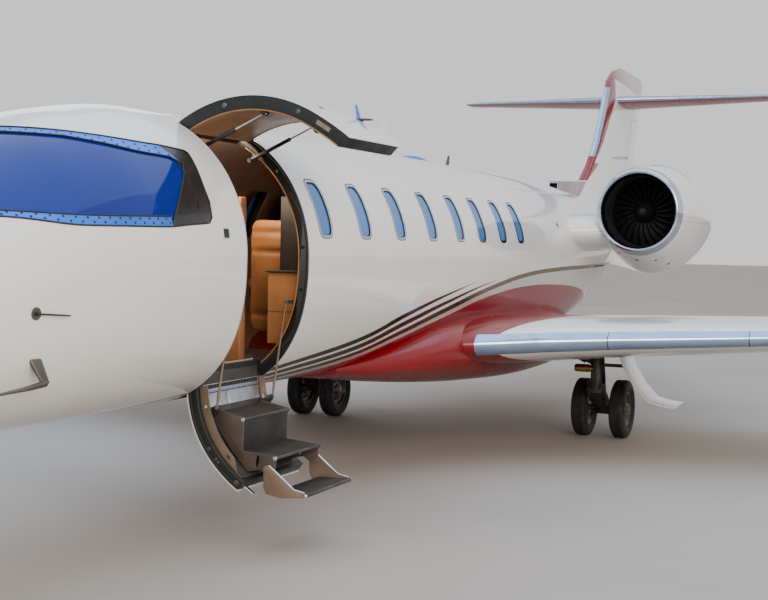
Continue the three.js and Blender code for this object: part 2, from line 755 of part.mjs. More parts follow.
function fin() {
  const scoop = prism([
    [x(SCOOP.front), SCOOP.low], [x(SCOOP.front), SCOOP.high - SCOOP.round / 2],
    [x(SCOOP.front + SCOOP.round), SCOOP.high], [x(SCOOP.aft), SCOOP.high + SCOOP.rise],
    [x(SCOOP.aft), SCOOP.low],
  ], 'y', -SCOOP.halfWidth, SCOOP.halfWidth);
  const mouth = box(
    [x(SCOOP.front + SCOOP.mouth), -SCOOP.halfWidth + SCOOP.lip, SCOOP.mouthLow],
    [x(SCOOP.front - SCOOP.mouth), SCOOP.halfWidth - SCOOP.lip, SCOOP.high - SCOOP.lip - SCOOP.round / 2],
  );
  return loft(FIN_ROWS.map(finRing))
    .add(scoop)
    .subtract(mouth)
    .subtract(OUTER_CLEAR)
    .subtract(foil(tailplaneRows(), 2 * SEAT_GAP))
    .subtract(bay(RUDDER, FIN_BAY));
}

function stabiliser() {
  const cutter = bay(ELEVATOR, TAILPLANE_BAY);
  return foil(tailplaneRows()).subtract(cutter).subtract(mirrored(cutter));
}

// Two fins below the tail: the front and rear ends of the root, inside the skin, and of the tip
const VENTRAL = {
  root: [[13475, 445, 1595], [15900, 100, 2060]],
  tip: [[14350, 720, 1470], [15900, 650, 1400]],
  ratio: 0.03,
};

function ventralFin(side) {
  const edges = [VENTRAL.root, VENTRAL.tip].map((edge) =>
    edge.map(([station, y, z]) => new THREE.Vector3(x(station), y, z)));
  const span = edges[1][1].clone().sub(edges[0][1]);
  const across = edges[0][1].clone().sub(edges[0][0]).cross(span).normalize();
  const rings = edges.map(([lead, trail]) => {
    const chord = trail.clone().sub(lead);
    const point = (share, sign) => lead.clone().addScaledVector(chord, share)
      .addScaledVector(across, sign * foilHalf(share, VENTRAL.ratio) * chord.length());
    return [
      ...AIRFOIL.map((share) => point(share, 1)),
      ...[...AIRFOIL].reverse().map((share) => point(share, -1)),
    ];
  });
  return onSide(loft(rings), side).subtract(OUTER_CLEAR);
}

// Engines
const ENGINE_SIDES = 20;
const ENGINE = { y: 1473, z: 2137, front: 10954, duct: 360, fan: 11330, ringFront: 11580 };
// How far behind the lip, the radius, and how far the underside bulges past it
const NACELLE_SKIN = [
  [0, 396, 0], [18, 418, 0], [70, 436, 4], [300, 478, 60], [800, 520, 130], [1300, 512, 120],
  [2000, 440, 60], [2666, 338, 10],
];
// How far behind the lip, and radius, of the duct, from just ahead of the lip to just behind the outlet
const NACELLE_DUCT = [
  [-10, 400.5], [40, 368], [130, ENGINE.duct], [900, ENGINE.duct], [1300, 440], [2000, 396], [2676, 317],
];
// Root and tip of the pylon, inside the skin and on the engine's axis
const PYLON_ROWS = [
  { station: 10640, chord: 2700, y: 500, z: 1900, ratio: 0.145, cant: 0 },
  { station: 11250, chord: 2000, y: ENGINE.y, z: 1950, ratio: 0.19, cant: 0 },
];

function engineAxis(solid, side) {
  return onSide(solid.translate([0, ENGINE.y, ENGINE.z]), side);
}

function nacelleRing([back, radius, bulge]) {
  const ring = [];
  for (let i = 0; i < ENGINE_SIDES; i += 1) {
    const angle = (2 * Math.PI * i) / ENGINE_SIDES;
    const [c, s] = [Math.cos(angle), Math.sin(angle)];
    ring.push(new THREE.Vector3(x(ENGINE.front + back), c * radius, s * radius - bulge * Math.min(0, s) ** 2));
  }
  return ring;
}

function nacelle(side) {
  const duct = NACELLE_DUCT.map(([back, radius]) => [x(ENGINE.front + back), radius]);
  const bore = spinX([[duct[0][0], 0], ...duct, [duct.at(-1)[0], 0]], ENGINE_SIDES);
  const pod = loft(NACELLE_SKIN.map(nacelleRing)).subtract(bore);
  const pylon = foil(PYLON_ROWS).subtract(bore.translate([0, ENGINE.y, ENGINE.z]));
  return engineAxis(pod, side).add(onSide(pylon, side).subtract(OUTER_CLEAR));
}

// The core: how far behind its front ring, and radius
const CORE_ROWS = [
  [0, 0], [0, ENGINE.duct - SEAT_GAP], [70, ENGINE.duct - SEAT_GAP], [90, 300], [1520, 270], [1720, 190],
  [2320, 30], [2320, 0],
];
const SHAFT_RADIUS = 70;

function engineCore(side) {
  const front = ENGINE.ringFront;
  const core = spinX(CORE_ROWS.map(([back, radius]) => [x(front + back), radius]), ENGINE_SIDES);
  const shaft = bar([x(front + 10), 0, 0], [x(ENGINE.fan + FAN.hubRear + SEAT_GAP), 0, 0], SHAFT_RADIUS);
  return engineAxis(core.add(shaft), side);
}

const FAN = { blades: 16, tip: 348, root: 100, chord: 100, thick: 7, pitch: 38, back: 30, hubRear: 120 };
// The spinner: how far behind the fan's place, and radius
const SPINNER_ROWS = [[-190, 0], [-150, 52], [-60, 104], [FAN.hubRear, 118], [FAN.hubRear, 0]];

function fan(side) {
  const hub = spinX(SPINNER_ROWS.map(([back, radius]) => [x(ENGINE.fan + back), radius]), 14);
  const blades = [];
  for (let i = 0; i < FAN.blades; i += 1) {
    const blade = box([-FAN.chord / 2, -FAN.thick / 2, FAN.root], [FAN.chord / 2, FAN.thick / 2, FAN.tip])
      .rotate([0, 0, FAN.pitch])
      .rotate([(360 * i) / FAN.blades, 0, 0])
      .translate([x(ENGINE.fan + FAN.back), 0, 0]);
    blades.push(blade);
  }
  return engineAxis(all([hub, ...blades]), side);
}

// Wheels and legs

// A profile of [place, radius] pairs spun round the Y line through a centre, standing on a flat facet
function spinY(profile, centre) {
  const points = profile.map(([place, radius]) => new THREE.Vector2(radius, place));
  const geometry = new THREE.LatheGeometry(points, WHEEL_SIDES, FACET, 2 * Math.PI);
  geometry.translate(...centre);
  return solidOf(geometry);
}

// A tyre: shares of its half width at the bead, shoulder and tread
const BEAD = 0.72;
const SHOULDER = 0.9;
const TREAD = 0.5;
const SIDEWALL = 34;

function tyre({ radius, halfWidth, rim }, centre) {
  const port = [
    [halfWidth * TREAD, radius], [halfWidth * SHOULDER, radius - SIDEWALL],
    [halfWidth, rim + SIDEWALL], [halfWidth * BEAD, rim + 1],
  ];
  const starboard = port.map(([place, r]) => [-place, r]).reverse();
  return spinY([...starboard, ...port, starboard[0]], centre);
}

// A rim disc with a well round the hub on both faces
const RIM_DISC = { hub: 48, wellIn: 54, wellDepth: 18, lip: 26 };

function rimDisc({ halfWidth, rim }, centre) {
  const half = halfWidth * BEAD;
  const edge = rim + 1 - SEAT_GAP * 1.2;
  const { hub, wellIn, wellDepth, lip } = RIM_DISC;
  const port = [[half, edge], [wellDepth, edge - lip], [wellDepth, wellIn], [half, hub], [half, 0]];
  const starboard = port.map(([place, r]) => [-place, r]).reverse();
  return spinY([...starboard, ...port], centre);
}

const GEAR_Y = MAIN_WHEEL.track / 2;
const AXLE_X = x(MAIN_WHEEL.station);
const AXLE_RADIUS = 30;
const MAIN_AXLE_Z = MAIN_WHEEL.radius * Math.cos(FACET);
const mainCentre = (offset) => [AXLE_X, GEAR_Y + offset, MAIN_AXLE_Z];

function mainWheels() {
  const half = MAIN_WHEEL.twin / 2;
  return all([
    rimDisc(MAIN_WHEEL, mainCentre(-half)),
    rimDisc(MAIN_WHEEL, mainCentre(half)),
    bar(mainCentre(-half), mainCentre(half), AXLE_RADIUS, AXLE_RADIUS, WHEEL_SIDES),
  ]);
}

function mainLeg() {
  const bossHalf = 62;
  const kneeX = AXLE_X + 300;
  const knee = [kneeX, GEAR_Y, 470];
  const arm = [
    [AXLE_X - 62, MAIN_AXLE_Z], [AXLE_X, MAIN_AXLE_Z - 58], [kneeX + 52, 440], [kneeX + 30, 530],
    [kneeX - 60, 510], [AXLE_X, MAIN_AXLE_Z + 66],
  ];
  const bore = bar(
    [AXLE_X, GEAR_Y - 100, MAIN_AXLE_Z], [AXLE_X, GEAR_Y + 100, MAIN_AXLE_Z],
    AXLE_RADIUS + 0.8, AXLE_RADIUS + 0.8, WHEEL_SIDES,
  );
  const linkX = kneeX - 20;
  const [doorY, doorZ] = GEAR_DOOR.outline[1];
  const parts = [
    bar([kneeX - 30, GEAR_Y, 1010], knee, 62, 50),
    prism(arm, 'y', GEAR_Y - bossHalf, GEAR_Y + bossHalf),
    bar([kneeX, GEAR_Y - 70, 470], [kneeX, GEAR_Y + 70, 470], 46),
    bar([AXLE_X + 40, GEAR_Y, 400], [kneeX - 60, GEAR_Y, 800], 34),
    bar([AXLE_X + 110, GEAR_Y, 520], [kneeX - 54, GEAR_Y, 960], 46),
    bar([kneeX - 10, GEAR_Y, 700], [kneeX - 10, GEAR_Y - 560, 960], 30),
    bar([kneeX - 10, GEAR_Y - 90, 738], [kneeX - 10, GEAR_Y - 330, 850], 42),
    bar([linkX, GEAR_Y + 20, 690], [linkX, doorY - 20, doorZ], 16),
  ];
  return all(parts).subtract(bore).subtract(WING_CLEAR).subtract(gearDoorSolid(2 * SEAT_GAP));
}

// The door that hangs outboard of each main leg, with a curled foot
const GEAR_DOOR = {
  front: 9250,
  aft: 9700,
  thick: 16,
  outline: [[1716, 850], [1772, 690], [1880, 520], [1990, 404], [2110, 372], [2226, 362]],
};

function gearDoorSolid(grow = 0) {
  const [inner, outer] = [[], []];
  GEAR_DOOR.outline.forEach(([y, z], i, line) => {
    const [a, b] = [line[Math.max(0, i - 1)], line[Math.min(line.length - 1, i + 1)]];
    const length = Math.hypot(b[0] - a[0], b[1] - a[1]);
    const normal = [(b[1] - a[1]) / length, -(b[0] - a[0]) / length];
    const half = GEAR_DOOR.thick / 2 + grow;
    inner.push([y + normal[0] * half, z + normal[1] * half]);
    outer.push([y - normal[0] * half, z - normal[1] * half]);
  });
  return prism([...inner, ...outer.reverse()], 'x', x(GEAR_DOOR.aft), x(GEAR_DOOR.front))
    .subtract(WING_CLEAR);
}

const NOSE_AXIS_X = x(NOSE_WHEEL.station - NOSE_WHEEL.trail);
const NOSE_WHEEL_CENTRE = [x(NOSE_WHEEL.station), 0, NOSE_WHEEL.radius * Math.cos(FACET)];
const FORK_TOP = 560;

function noseLeg() {
  return all([
    bar([NOSE_AXIS_X, 0, 1000], [NOSE_AXIS_X, 0, FORK_TOP + SEAT_GAP], 48, 44),
    bar([NOSE_AXIS_X - 420, 0, 1000], [NOSE_AXIS_X - 30, 0, 700], 26),
    bar([NOSE_AXIS_X, -80, 690], [NOSE_AXIS_X, 80, 690], 30),
  ]).subtract(OUTER_CLEAR);
}

function noseFork() {
  const crown = 2 * NOSE_WHEEL.radius + 12;
  const plate = NOSE_WHEEL.halfWidth + MOVING_GAP + 2;
  const parts = [
    bar([NOSE_AXIS_X, 0, FORK_TOP], [NOSE_AXIS_X, 0, crown + 10], 40),
    box([NOSE_AXIS_X - 90, -plate - 22, crown], [NOSE_AXIS_X + 46, plate + 22, crown + 36]),
  ];
  for (const side of [1, -1]) {
    const [low, high] = side > 0 ? [plate, plate + 22] : [-plate - 22, -plate];
    const leg = [
      [NOSE_AXIS_X - 80, crown + 20], [NOSE_AXIS_X + 30, crown + 20], [NOSE_WHEEL_CENTRE[0] + 34, 200],
      [NOSE_WHEEL_CENTRE[0], 176], [NOSE_WHEEL_CENTRE[0] - 34, 200],
    ];
    parts.push(prism(leg, 'y', low, high));
    const hub = NOSE_WHEEL.halfWidth * BEAD + SEAT_GAP;
    const [axleX, , axleZ] = NOSE_WHEEL_CENTRE;
    parts.push(bar([axleX, side * (plate + 4), axleZ], [axleX, side * hub, axleZ], 22));
  }
  return all(parts);
}

function noseGearDoor(side) {
  const panel = [[196, 846], [214, 846], [262, 560], [244, 560]];
  return onSide(prism(panel, 'x', x(2330), x(1560)), side).subtract(OUTER_CLEAR);
}

// Cabin
const FLOOR_Z = 950;
// The raised strip down the middle of the aisle
const RUNNER = { front: 5040, aft: CABIN_END - 130, halfWidth: 175, rise: 4 };

function cabinFloor() {
  const room = bodySolid(2200, CABIN_END - 60, -WALL - 3 * SEAT_GAP);
  const floor = box([x(CABIN_END - 60), -900, 700], [x(2200), 900, FLOOR_Z]);
  const runner = box(
    [x(RUNNER.aft), -RUNNER.halfWidth, FLOOR_Z - 10],
    [x(RUNNER.front), RUNNER.halfWidth, FLOOR_Z + RUNNER.rise],
  );
  const bulkhead = box([x(CABIN_END - 60), -900, 700], [x(CABIN_END - 110), 900, 2600]);
  return room.intersect(all([floor, runner, bulkhead]));
}

function closet() {
  const room = bodySolid(COCKPIT_END, 5000, -WALL - 4);
  const divider = box([x(4950), -800, FLOOR_Z + SEAT_GAP], [x(4878), 350, 2030]);
  const cabinet = box([x(4900), -800, FLOOR_Z + SEAT_GAP], [x(4060), -330, 2030]);
  return divider.add(cabinet).intersect(room);
}

function seat(station, y, facing) {
  const along = (...places) => {
    const ends = places.map((place) => x(station) + facing * place);
    return [Math.min(...ends), Math.max(...ends)];
  };
  const block = ([x0, x1], z0, z1, half) => box([x0, y - half, z0], [x1, y + half, z1]);
  return all([
    block(along(-180, 180), FLOOR_Z + 20, FLOOR_Z + 190, 150),
    block(along(-250, 260), FLOOR_Z + 180, FLOOR_Z + 370, 235),
    block(along(-330, -210), FLOOR_Z + 200, FLOOR_Z + 960, 225),
    block(along(-240, 150), FLOOR_Z + 360, FLOOR_Z + 520, 235)
      .subtract(block(along(-210, 200), FLOOR_Z + 350, FLOOR_Z + 560, 185)),
  ]);
}

function seats(places) {
  const stations = places.map(([station]) => x(station));
  const ys = places.map(([, y]) => y);
  const rail = box(
    [Math.min(...stations) - 180, Math.min(...ys) - 60, FLOOR_Z + SEAT_GAP],
    [Math.max(...stations) + 180, Math.max(...ys) + 60, FLOOR_Z + 24],
  );
  return all([rail, ...places.map(([station, y, facing]) => seat(station, y, facing))])
    .intersect(bodySolid(COCKPIT_END - 1900, CABIN_END, -WALL - 14));
}

function instrumentPanel() {
  const room = bodySolid(1500, COCKPIT_END, -WALL - 3 * SEAT_GAP);
  const desk = prism([
    [x(1960), 1700], [x(2430), 1740], [x(2450), 1700], [x(2380), 1400], [x(2240), 1200],
    [x(2240), FLOOR_Z + SEAT_GAP], [x(2205), FLOOR_Z + SEAT_GAP], [x(2205), 1300],
  ], 'y', -800, 800);
  const pedestal = box([x(2950), -100, FLOOR_Z + SEAT_GAP], [x(2230), 100, 1380]);
  return desk.add(pedestal).intersect(room);
}

function baggageDoor() {
  return SHELL.intersect(baggageCutter(MOVING_GAP)).add(baggageTube(HINGE.leaf, HINGE.play));
}

function buildAirframe() {
  place('nose_cone', SHELL.intersect(slice(-100, RADOME_END)), WHITE);
  place('fuselage_nose', SHELL.intersect(slice(RADOME_END + SEAT_GAP, COCKPIT_END))
    .subtract(paneCutter(1, 0)).subtract(paneCutter(-1, 0)), WHITE);
  place('fuselage_cabin', fuselageCabin(), WHITE);
  place('fuselage_tail', SHELL.intersect(slice(CABIN_END + SEAT_GAP, TAIL_END + 100))
    .subtract(baggageCutter(0)).subtract(baggageTube(HINGE.bore)), WHITE);
  place('belly_fairing', fairing(), RED);
  place('fin', fin(), WHITE);
  place('stabiliser', stabiliser(), WHITE);
  for (const [name, side] of SIDES) {
    place(`windshield_${name}`, windshield(side), GLASS);
    place(`cabin_windows_${name}`, cabinWindows(side), GLASS);
    place(`wing_${name}`, wing(side), WHITE);
    place(`nacelle_${name}`, nacelle(side), WHITE);
    place(`engine_${name}`, engineCore(side), DARK_METAL);
    place(`ventral_fin_${name}`, ventralFin(side), WHITE);
  }
}

function buildMovingSurfaces() {
  place('rudder', surface(RUDDER), WHITE);
  for (const [name, side] of SIDES) {
    place(`flap_${name}`, onSide(surface(FLAP), side), WHITE);
    place(`aileron_${name}`, onSide(surface(AILERON), side), WHITE);
    place(`elevator_${name}`, onSide(surface(ELEVATOR), side), WHITE);
    place(`fan_${name}`, fan(side), DARK_METAL);
  }
}

function buildDoors() {
  place('upper_door', upperDoor(), WHITE);
  place('lower_door', lowerDoor(), WHITE);
  place('folding_step', foldingStep(), BRONZE);
  place('baggage_door', baggageDoor(), WHITE);
  for (const [name, station] of STRUT.stations) {
    place(`strut_tube_${name}`, strutTube(station), DARK_METAL);
    place(`strut_rod_${name}`, strutRod(station), POLISHED);
  }
  for (const [name, station] of STAY.stations) {
    place(`door_stay_${name}`, stay(station), BRONZE);
  }
}

function buildGear() {
  for (const [name, side] of SIDES) {
    place(`main_leg_${name}`, onSide(mainLeg(), side), DARK_METAL);
    place(`main_wheels_${name}`, onSide(mainWheels(), side), RIM);
    place(`gear_door_${name}`, onSide(gearDoorSolid(), side), WHITE);
    place(`nose_gear_door_${name}`, noseGearDoor(side), WHITE);
    for (const [row, offset] of [['inner', -MAIN_WHEEL.twin / 2], ['outer', MAIN_WHEEL.twin / 2]]) {
      place(`main_tyre_${name}_${row}`, onSide(tyre(MAIN_WHEEL, mainCentre(offset)), side), TYRE);
    }
  }
  place('nose_leg', noseLeg(), RIM);
  place('nose_fork', noseFork(), RIM);
  place('nose_wheel', rimDisc(NOSE_WHEEL, NOSE_WHEEL_CENTRE), RIM);
  place('nose_tyre', tyre(NOSE_WHEEL, NOSE_WHEEL_CENTRE), TYRE);
}

function buildCabin() {
  place('cabin_floor', cabinFloor(), TRIM);
  place('closet', closet(), LEATHER);
  place('instrument_panel', instrumentPanel(), TRIM);
  place('cockpit_seats', seats([[3180, 362, 1], [3180, -362, 1]]), LEATHER);
  place('cabin_seats_left', seats([[5560, 420, -1], [6900, 420, 1], [8000, 420, 1]]), LEATHER);
  place('cabin_seats_right', seats([[5560, -420, -1], [6900, -420, 1], [8000, -420, 1]]), LEATHER);
}

buildAirframe();
buildMovingSurfaces();
buildDoors();
buildGear();
buildCabin();

export default ROOT_FRAME;
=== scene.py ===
# Twin-engined business jet parked on its gear, with its clamshell entry door open.
# Metres. X forward, Y to port, Z up. Stations count aft from the nose tip.
from math import atan2, copysign, cos, exp, pi, radians, sin, sqrt, tan

import bmesh
import bpy
from mathutils import Matrix, Vector


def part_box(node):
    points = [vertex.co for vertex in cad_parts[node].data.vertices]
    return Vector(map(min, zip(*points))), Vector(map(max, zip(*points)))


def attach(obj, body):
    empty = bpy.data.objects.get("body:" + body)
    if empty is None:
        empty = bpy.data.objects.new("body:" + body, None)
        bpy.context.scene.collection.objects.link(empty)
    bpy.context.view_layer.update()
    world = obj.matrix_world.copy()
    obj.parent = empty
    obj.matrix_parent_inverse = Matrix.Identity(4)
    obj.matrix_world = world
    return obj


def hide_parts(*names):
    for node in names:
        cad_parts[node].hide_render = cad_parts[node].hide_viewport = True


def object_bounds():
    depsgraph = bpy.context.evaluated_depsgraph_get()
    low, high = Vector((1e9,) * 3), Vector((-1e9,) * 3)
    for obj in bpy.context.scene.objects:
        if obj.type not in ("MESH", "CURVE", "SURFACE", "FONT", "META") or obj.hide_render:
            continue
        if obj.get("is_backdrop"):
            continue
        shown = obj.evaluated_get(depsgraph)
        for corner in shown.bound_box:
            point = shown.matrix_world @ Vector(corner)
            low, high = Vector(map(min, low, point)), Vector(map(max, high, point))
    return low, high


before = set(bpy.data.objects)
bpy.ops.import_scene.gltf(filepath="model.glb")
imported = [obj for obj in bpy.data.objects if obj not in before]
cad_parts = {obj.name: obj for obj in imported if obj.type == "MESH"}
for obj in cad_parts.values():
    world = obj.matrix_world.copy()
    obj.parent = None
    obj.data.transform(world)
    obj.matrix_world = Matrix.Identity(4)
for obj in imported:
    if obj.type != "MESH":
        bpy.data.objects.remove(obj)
cad_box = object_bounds()

# Driving sizes
NOSE_X = 8.84
WALL = 0.072
TAIL_WALL = 0.03
UPPER_POWER = 2.04
LOWER_POWER = 2.46
WIDEST_Z = 1.666
JOINT_GAP = 0.0004
RADOME_END = 0.9
COCKPIT_END = 3.9
CABIN_END = 10.25
TAIL_END = 17.04
BODY_SIDES = 128
SIDES = (("left", 1), ("right", -1))

# Station, half width, crown, keel and widest height of the fuselage
BODY_ROWS = (
    (0.0, 0.018, 1.216, 1.180, 1.198),
    (0.06, 0.084, 1.262, 1.128, 1.196),
    (0.22, 0.172, 1.336, 1.066, 1.196),
    (0.5, 0.286, 1.424, 1.000, 1.205),
    (1.0, 0.452, 1.566, 0.922, 1.240),
    (1.7, 0.634, 1.766, 0.855, 1.330),
    (2.1, 0.716, 1.945, 0.828, 1.420),
    (2.5, 0.776, 2.148, 0.810, 1.520),
    (2.9, 0.818, 2.316, 0.802, 1.600),
    (3.3, 0.842, 2.424, 0.799, 1.648),
    (3.9, 0.852, 2.501, 0.798, WIDEST_Z),
    (10.25, 0.852, 2.501, 0.798, WIDEST_Z),
    (11.3, 0.838, 2.486, 0.842, 1.676),
    (12.5, 0.752, 2.452, 1.030, 1.740),
    (13.7, 0.596, 2.368, 1.330, 1.880),
    (14.9, 0.412, 2.334, 1.680, 2.040),
    (16.1, 0.226, 2.326, 2.010, 2.180),
    (17.04, 0.092, 2.330, 2.180, 2.256),
)


# Small mathematics


def clamp(value):
    return max(0.0, min(1.0, value))


def share_between(value, low, high):
    return clamp((value - low) / (high - low))


def ease(share):
    return share * share * (3 - 2 * share)


def slopes_of(places, values):
    """Slopes that keep a curve through the points from overshooting."""
    steps = [b - a for a, b in zip(places, places[1:])]
    rises = [(b - a) / step for a, b, step in zip(values, values[1:], steps)]
    slopes = [rises[0]]
    for before, after in zip(rises, rises[1:]):
        slopes.append(0.0 if before * after <= 0 else 2 * before * after / (before + after))
    return slopes + [rises[-1]]


def curve_through(rows):
    """A smooth curve through table rows: place in, the other columns out."""
    places = [row[0] for row in rows]
    columns = list(zip(*rows))[1:]
    slopes = [slopes_of(places, column) for column in columns]

    def at(place):
        last = len(places) - 2
        i = next((k for k in range(last + 1) if place <= places[k + 1]), last)
        step = places[i + 1] - places[i]
        t = clamp((place - places[i]) / step)
        a, b = 2 * t**3 - 3 * t**2 + 1, t**3 - 2 * t**2 + t
        c, d = -2 * t**3 + 3 * t**2, t**3 - t**2
        return [
            a * column[i] + b * step * slope[i] + c * column[i + 1] + d * step * slope[i + 1]
            for column, slope in zip(columns, slopes)
        ]

    return at


def at_station(station, y, z):
    return Vector((NOSE_X - station, y, z))


def signed_power(value, power):
    return copysign(abs(value) ** power, value)


def spread(low, high, count):
    return [low + (high - low) * i / (count - 1) for i in range(count)]


def turns(count):
    """Even angles round a full turn."""
    return [2 * pi * i / count for i in range(count)]


# Meshes


def mesh_piece(name, points, faces):
    mesh = bpy.data.meshes.new(name)
    mesh.from_pydata([tuple(p) for p in points], [], faces)
    mesh.validate()
    obj = bpy.data.objects.new(name, mesh)
    bpy.context.collection.objects.link(obj)
    mesh.polygons.foreach_set("use_smooth", [True] * len(mesh.polygons))
    return obj


def face_outwards(obj):
    work = bmesh.new()
    work.from_mesh(obj.data)
    bmesh.ops.remove_doubles(work, verts=work.verts, dist=1e-5)
    bmesh.ops.recalc_face_normals(work, faces=work.faces)
    work.to_mesh(obj.data)
    work.free()
    return obj


def crisp(obj, degrees=32):
    obj.data.set_sharp_from_angle(angle=radians(degrees))
    return obj


def loft(name, rings, ring_shaped=False, degrees=32):
    """A skin through rings of equal length, capped or joined end to end."""
    count = len(rings[0])
    points = [p for ring in rings for p in ring]
    faces = []
    bands = len(rings) if ring_shaped else len(rings) - 1
    for r in range(bands):
        a, b = r * count, ((r + 1) % len(rings)) * count
        for i in range(count):
            j = (i + 1) % count
            faces.append((a + i, a + j, b + j, b + i))
    if not ring_shaped:
        faces.append(tuple(range(count)))
        faces.append(tuple(range((len(rings) - 1) * count, len(rings) * count)))
    return crisp(face_outwards(mesh_piece(name, points, faces)), degrees)


def prism(name, outline, start, end, along="X", degrees=32):
    """A flat outline pushed along an axis. The outline leaves that axis out."""
    def put(a, b, c):
        return {"X": (c, a, b), "Y": (a, c, b), "Z": (a, b, c)}[along]

    rings = [[put(a, b, c) for a, b in outline] for c in (start, end)]
    return loft(name, rings, degrees=degrees)


def block(name, low, high):
    outline = [(low[1], low[2]), (high[1], low[2]), (high[1], high[2]), (low[1], high[2])]
    return prism(name, outline, low[0], high[0])


def tube(name, path, radii, sides=16, ring_shaped=False):
    """A round bar along a path, with one radius or one for each point."""
    path = [Vector(p) for p in path]
    radii = radii if isinstance(radii, (list, tuple)) else [radii] * len(path)
    first = None
    rings = []
    for i, point in enumerate(path):
        if ring_shaped:
            direction = path[(i + 1) % len(path)] - path[i - 1]
        else:
            direction = path[min(i + 1, len(path) - 1)] - path[max(i - 1, 0)]
        direction.normalize()
        if first is None:
            helper = Vector((0, 0, 1)) if abs(direction.z) < 0.9 else Vector((1, 0, 0))
            first = direction.cross(helper).normalized()
        first = (first - direction * first.dot(direction)).normalized()
        second = direction.cross(first)
        rings.append([point + (first * cos(t) + second * sin(t)) * radii[i] for t in turns(sides)])
    return loft(name, rings, ring_shaped, degrees=40)


def spun(name, profile, centre, along="X", sides=64, closed=True):
    """A profile of (place, radius) pairs turned round an axis. Closed joins its last pair to its first."""
    rings = []
    for place, radius in profile:
        ring = []
        for angle in turns(sides):
            a, b = cos(angle) * max(radius, 1e-4), sin(angle) * max(radius, 1e-4)
            offset = {"X": (place, a, b), "Y": (a, place, b), "Z": (a, b, place)}[along]
            ring.append(Vector(centre) + Vector(offset))
        rings.append(ring)
    return loft(name, rings, closed, degrees=28)


def button(profile, place, outward=1, sides=20, along="X"):
    """A turned cap that stands out from a face. Its profile is (how far out, radius) pairs."""
    turned = [(outward * a, r) for a, r in profile]
    return spun("button", turned, place, along, sides, closed=False)


def settle(obj):
    """Turns what the modifiers make into the object's own mesh."""
    graph = bpy.context.evaluated_depsgraph_get()
    made = bpy.data.meshes.new_from_object(
        obj.evaluated_get(graph), preserve_all_data_layers=True, depsgraph=graph
    )
    obj.modifiers.clear()
    obj.data = made
    return obj


def forget(obj):
    bpy.data.objects.remove(obj, do_unlink=True)


def rounded(obj, width, segments=3, degrees=30):
    bevel = obj.modifiers.new("bevel", "BEVEL")
    bevel.width = width
    bevel.segments = segments
    bevel.limit_method = "ANGLE"
    bevel.angle_limit = radians(degrees)
    bevel.harden_normals = False
    return crisp(settle(obj), 40)


def cut(obj, cutters, operation="DIFFERENCE"):
    for cutter in cutters:
        boolean = obj.modifiers.new("cut", "BOOLEAN")
        boolean.operation = operation
        boolean.solver = "EXACT"
        boolean.material_mode = "TRANSFER"
        boolean.object = cutter
    settle(obj)
    for cutter in cutters:
        forget(cutter)
    return obj


def joined(name, objects):
    work = bmesh.new()
    materials = []
    for obj in objects:
        own = [slot.material for slot in obj.material_slots]
        materials += [m for m in own if m not in materials]
        first_face = len(work.faces)
        work.from_mesh(obj.data)
        work.faces.ensure_lookup_table()
        for face in work.faces[first_face:]:
            if own:
                face.material_index = materials.index(own[min(face.material_index, len(own) - 1)])
    mesh = bpy.data.meshes.new(name)
    work.to_mesh(mesh)
    work.free()
    for material in materials:
        mesh.materials.append(material)
    for obj in objects:
        forget(obj)
    made = bpy.data.objects.new(name, mesh)
    bpy.context.collection.objects.link(made)
    return made


def reshape(obj, matrix):
    obj.data.transform(matrix)
    if matrix.determinant() < 0:
        obj.data.flip_normals()
    obj.data.update()
    return obj


MIRROR = Matrix.Scale(-1, 4, Vector((0, 1, 0)))


def on_side(obj, side):
    return obj if side > 0 else reshape(obj, MIRROR)


def turned(obj, degrees, y, z):
    """Turns a piece round a line along X."""
    pivot = Vector((0, y, z))
    turn = Matrix.Translation(pivot) @ Matrix.Rotation(radians(degrees), 4, "X")
    return reshape(obj, turn @ Matrix.Translation(-pivot))


def refined(node, name, bevel=0.004, degrees=30):
    """A merged copy of a rigid node, with its edges rounded."""
    work = bmesh.new()
    work.from_mesh(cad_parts[node].data)
    bmesh.ops.remove_doubles(work, verts=work.verts, dist=1e-4)
    bmesh.ops.dissolve_limit(work, angle_limit=radians(1.5), verts=work.verts, edges=work.edges)
    mesh = bpy.data.meshes.new(name)
    work.to_mesh(mesh)
    work.free()
    obj = bpy.data.objects.new(name, mesh)
    bpy.context.collection.objects.link(obj)
    return rounded(obj, bevel, 2, degrees)


def finish(obj, material, body="root", slot=None, replaces=()):
    """Gives a finished piece its material, if it has none yet, and its body. Its slot is looked up but not
    kept.
    """
    if material is not None:
        obj.data.materials.clear()
        obj.data.materials.append(material)
    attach(obj, body)
    slot or SLOTS[material]
    if replaces:
        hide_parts(*replaces)
    return obj


# Fuselage surface

body_row = curve_through(BODY_ROWS)


def body_point(station, angle, grow=0.0):
    half, crown, keel, widest = body_row(station)
    c, s = cos(angle), sin(angle)
    power = UPPER_POWER if s > 0 else LOWER_POWER
    height = crown - widest if s > 0 else widest - keel
    y = signed_power(c, 2 / power) * (half + grow)
    return at_station(station, y, widest + signed_power(s, 2 / power) * (height + grow))


def body_level(station, y, z):
    """Below 1 inside the fuselage, 1 on its skin."""
    half, crown, keel, widest = body_row(station)
    power = UPPER_POWER if z > widest else LOWER_POWER
    height = crown - widest if z > widest else widest - keel
    return abs(y / half) ** power + abs((z - widest) / height) ** power


def body_normal(point):
    """The skin's outward direction at a place, and how fast body_level rises along it."""
    station, y, z = NOSE_X - point[0], point[1], point[2]
    step = 0.0005
    slope = Vector((
        body_level(station - step, y, z) - body_level(station + step, y, z),
        body_level(station, y + step, z) - body_level(station, y - step, z),
        body_level(station, y, z + step) - body_level(station, y, z - step),
    ))
    return slope.normalized(), slope.length / (2 * step)


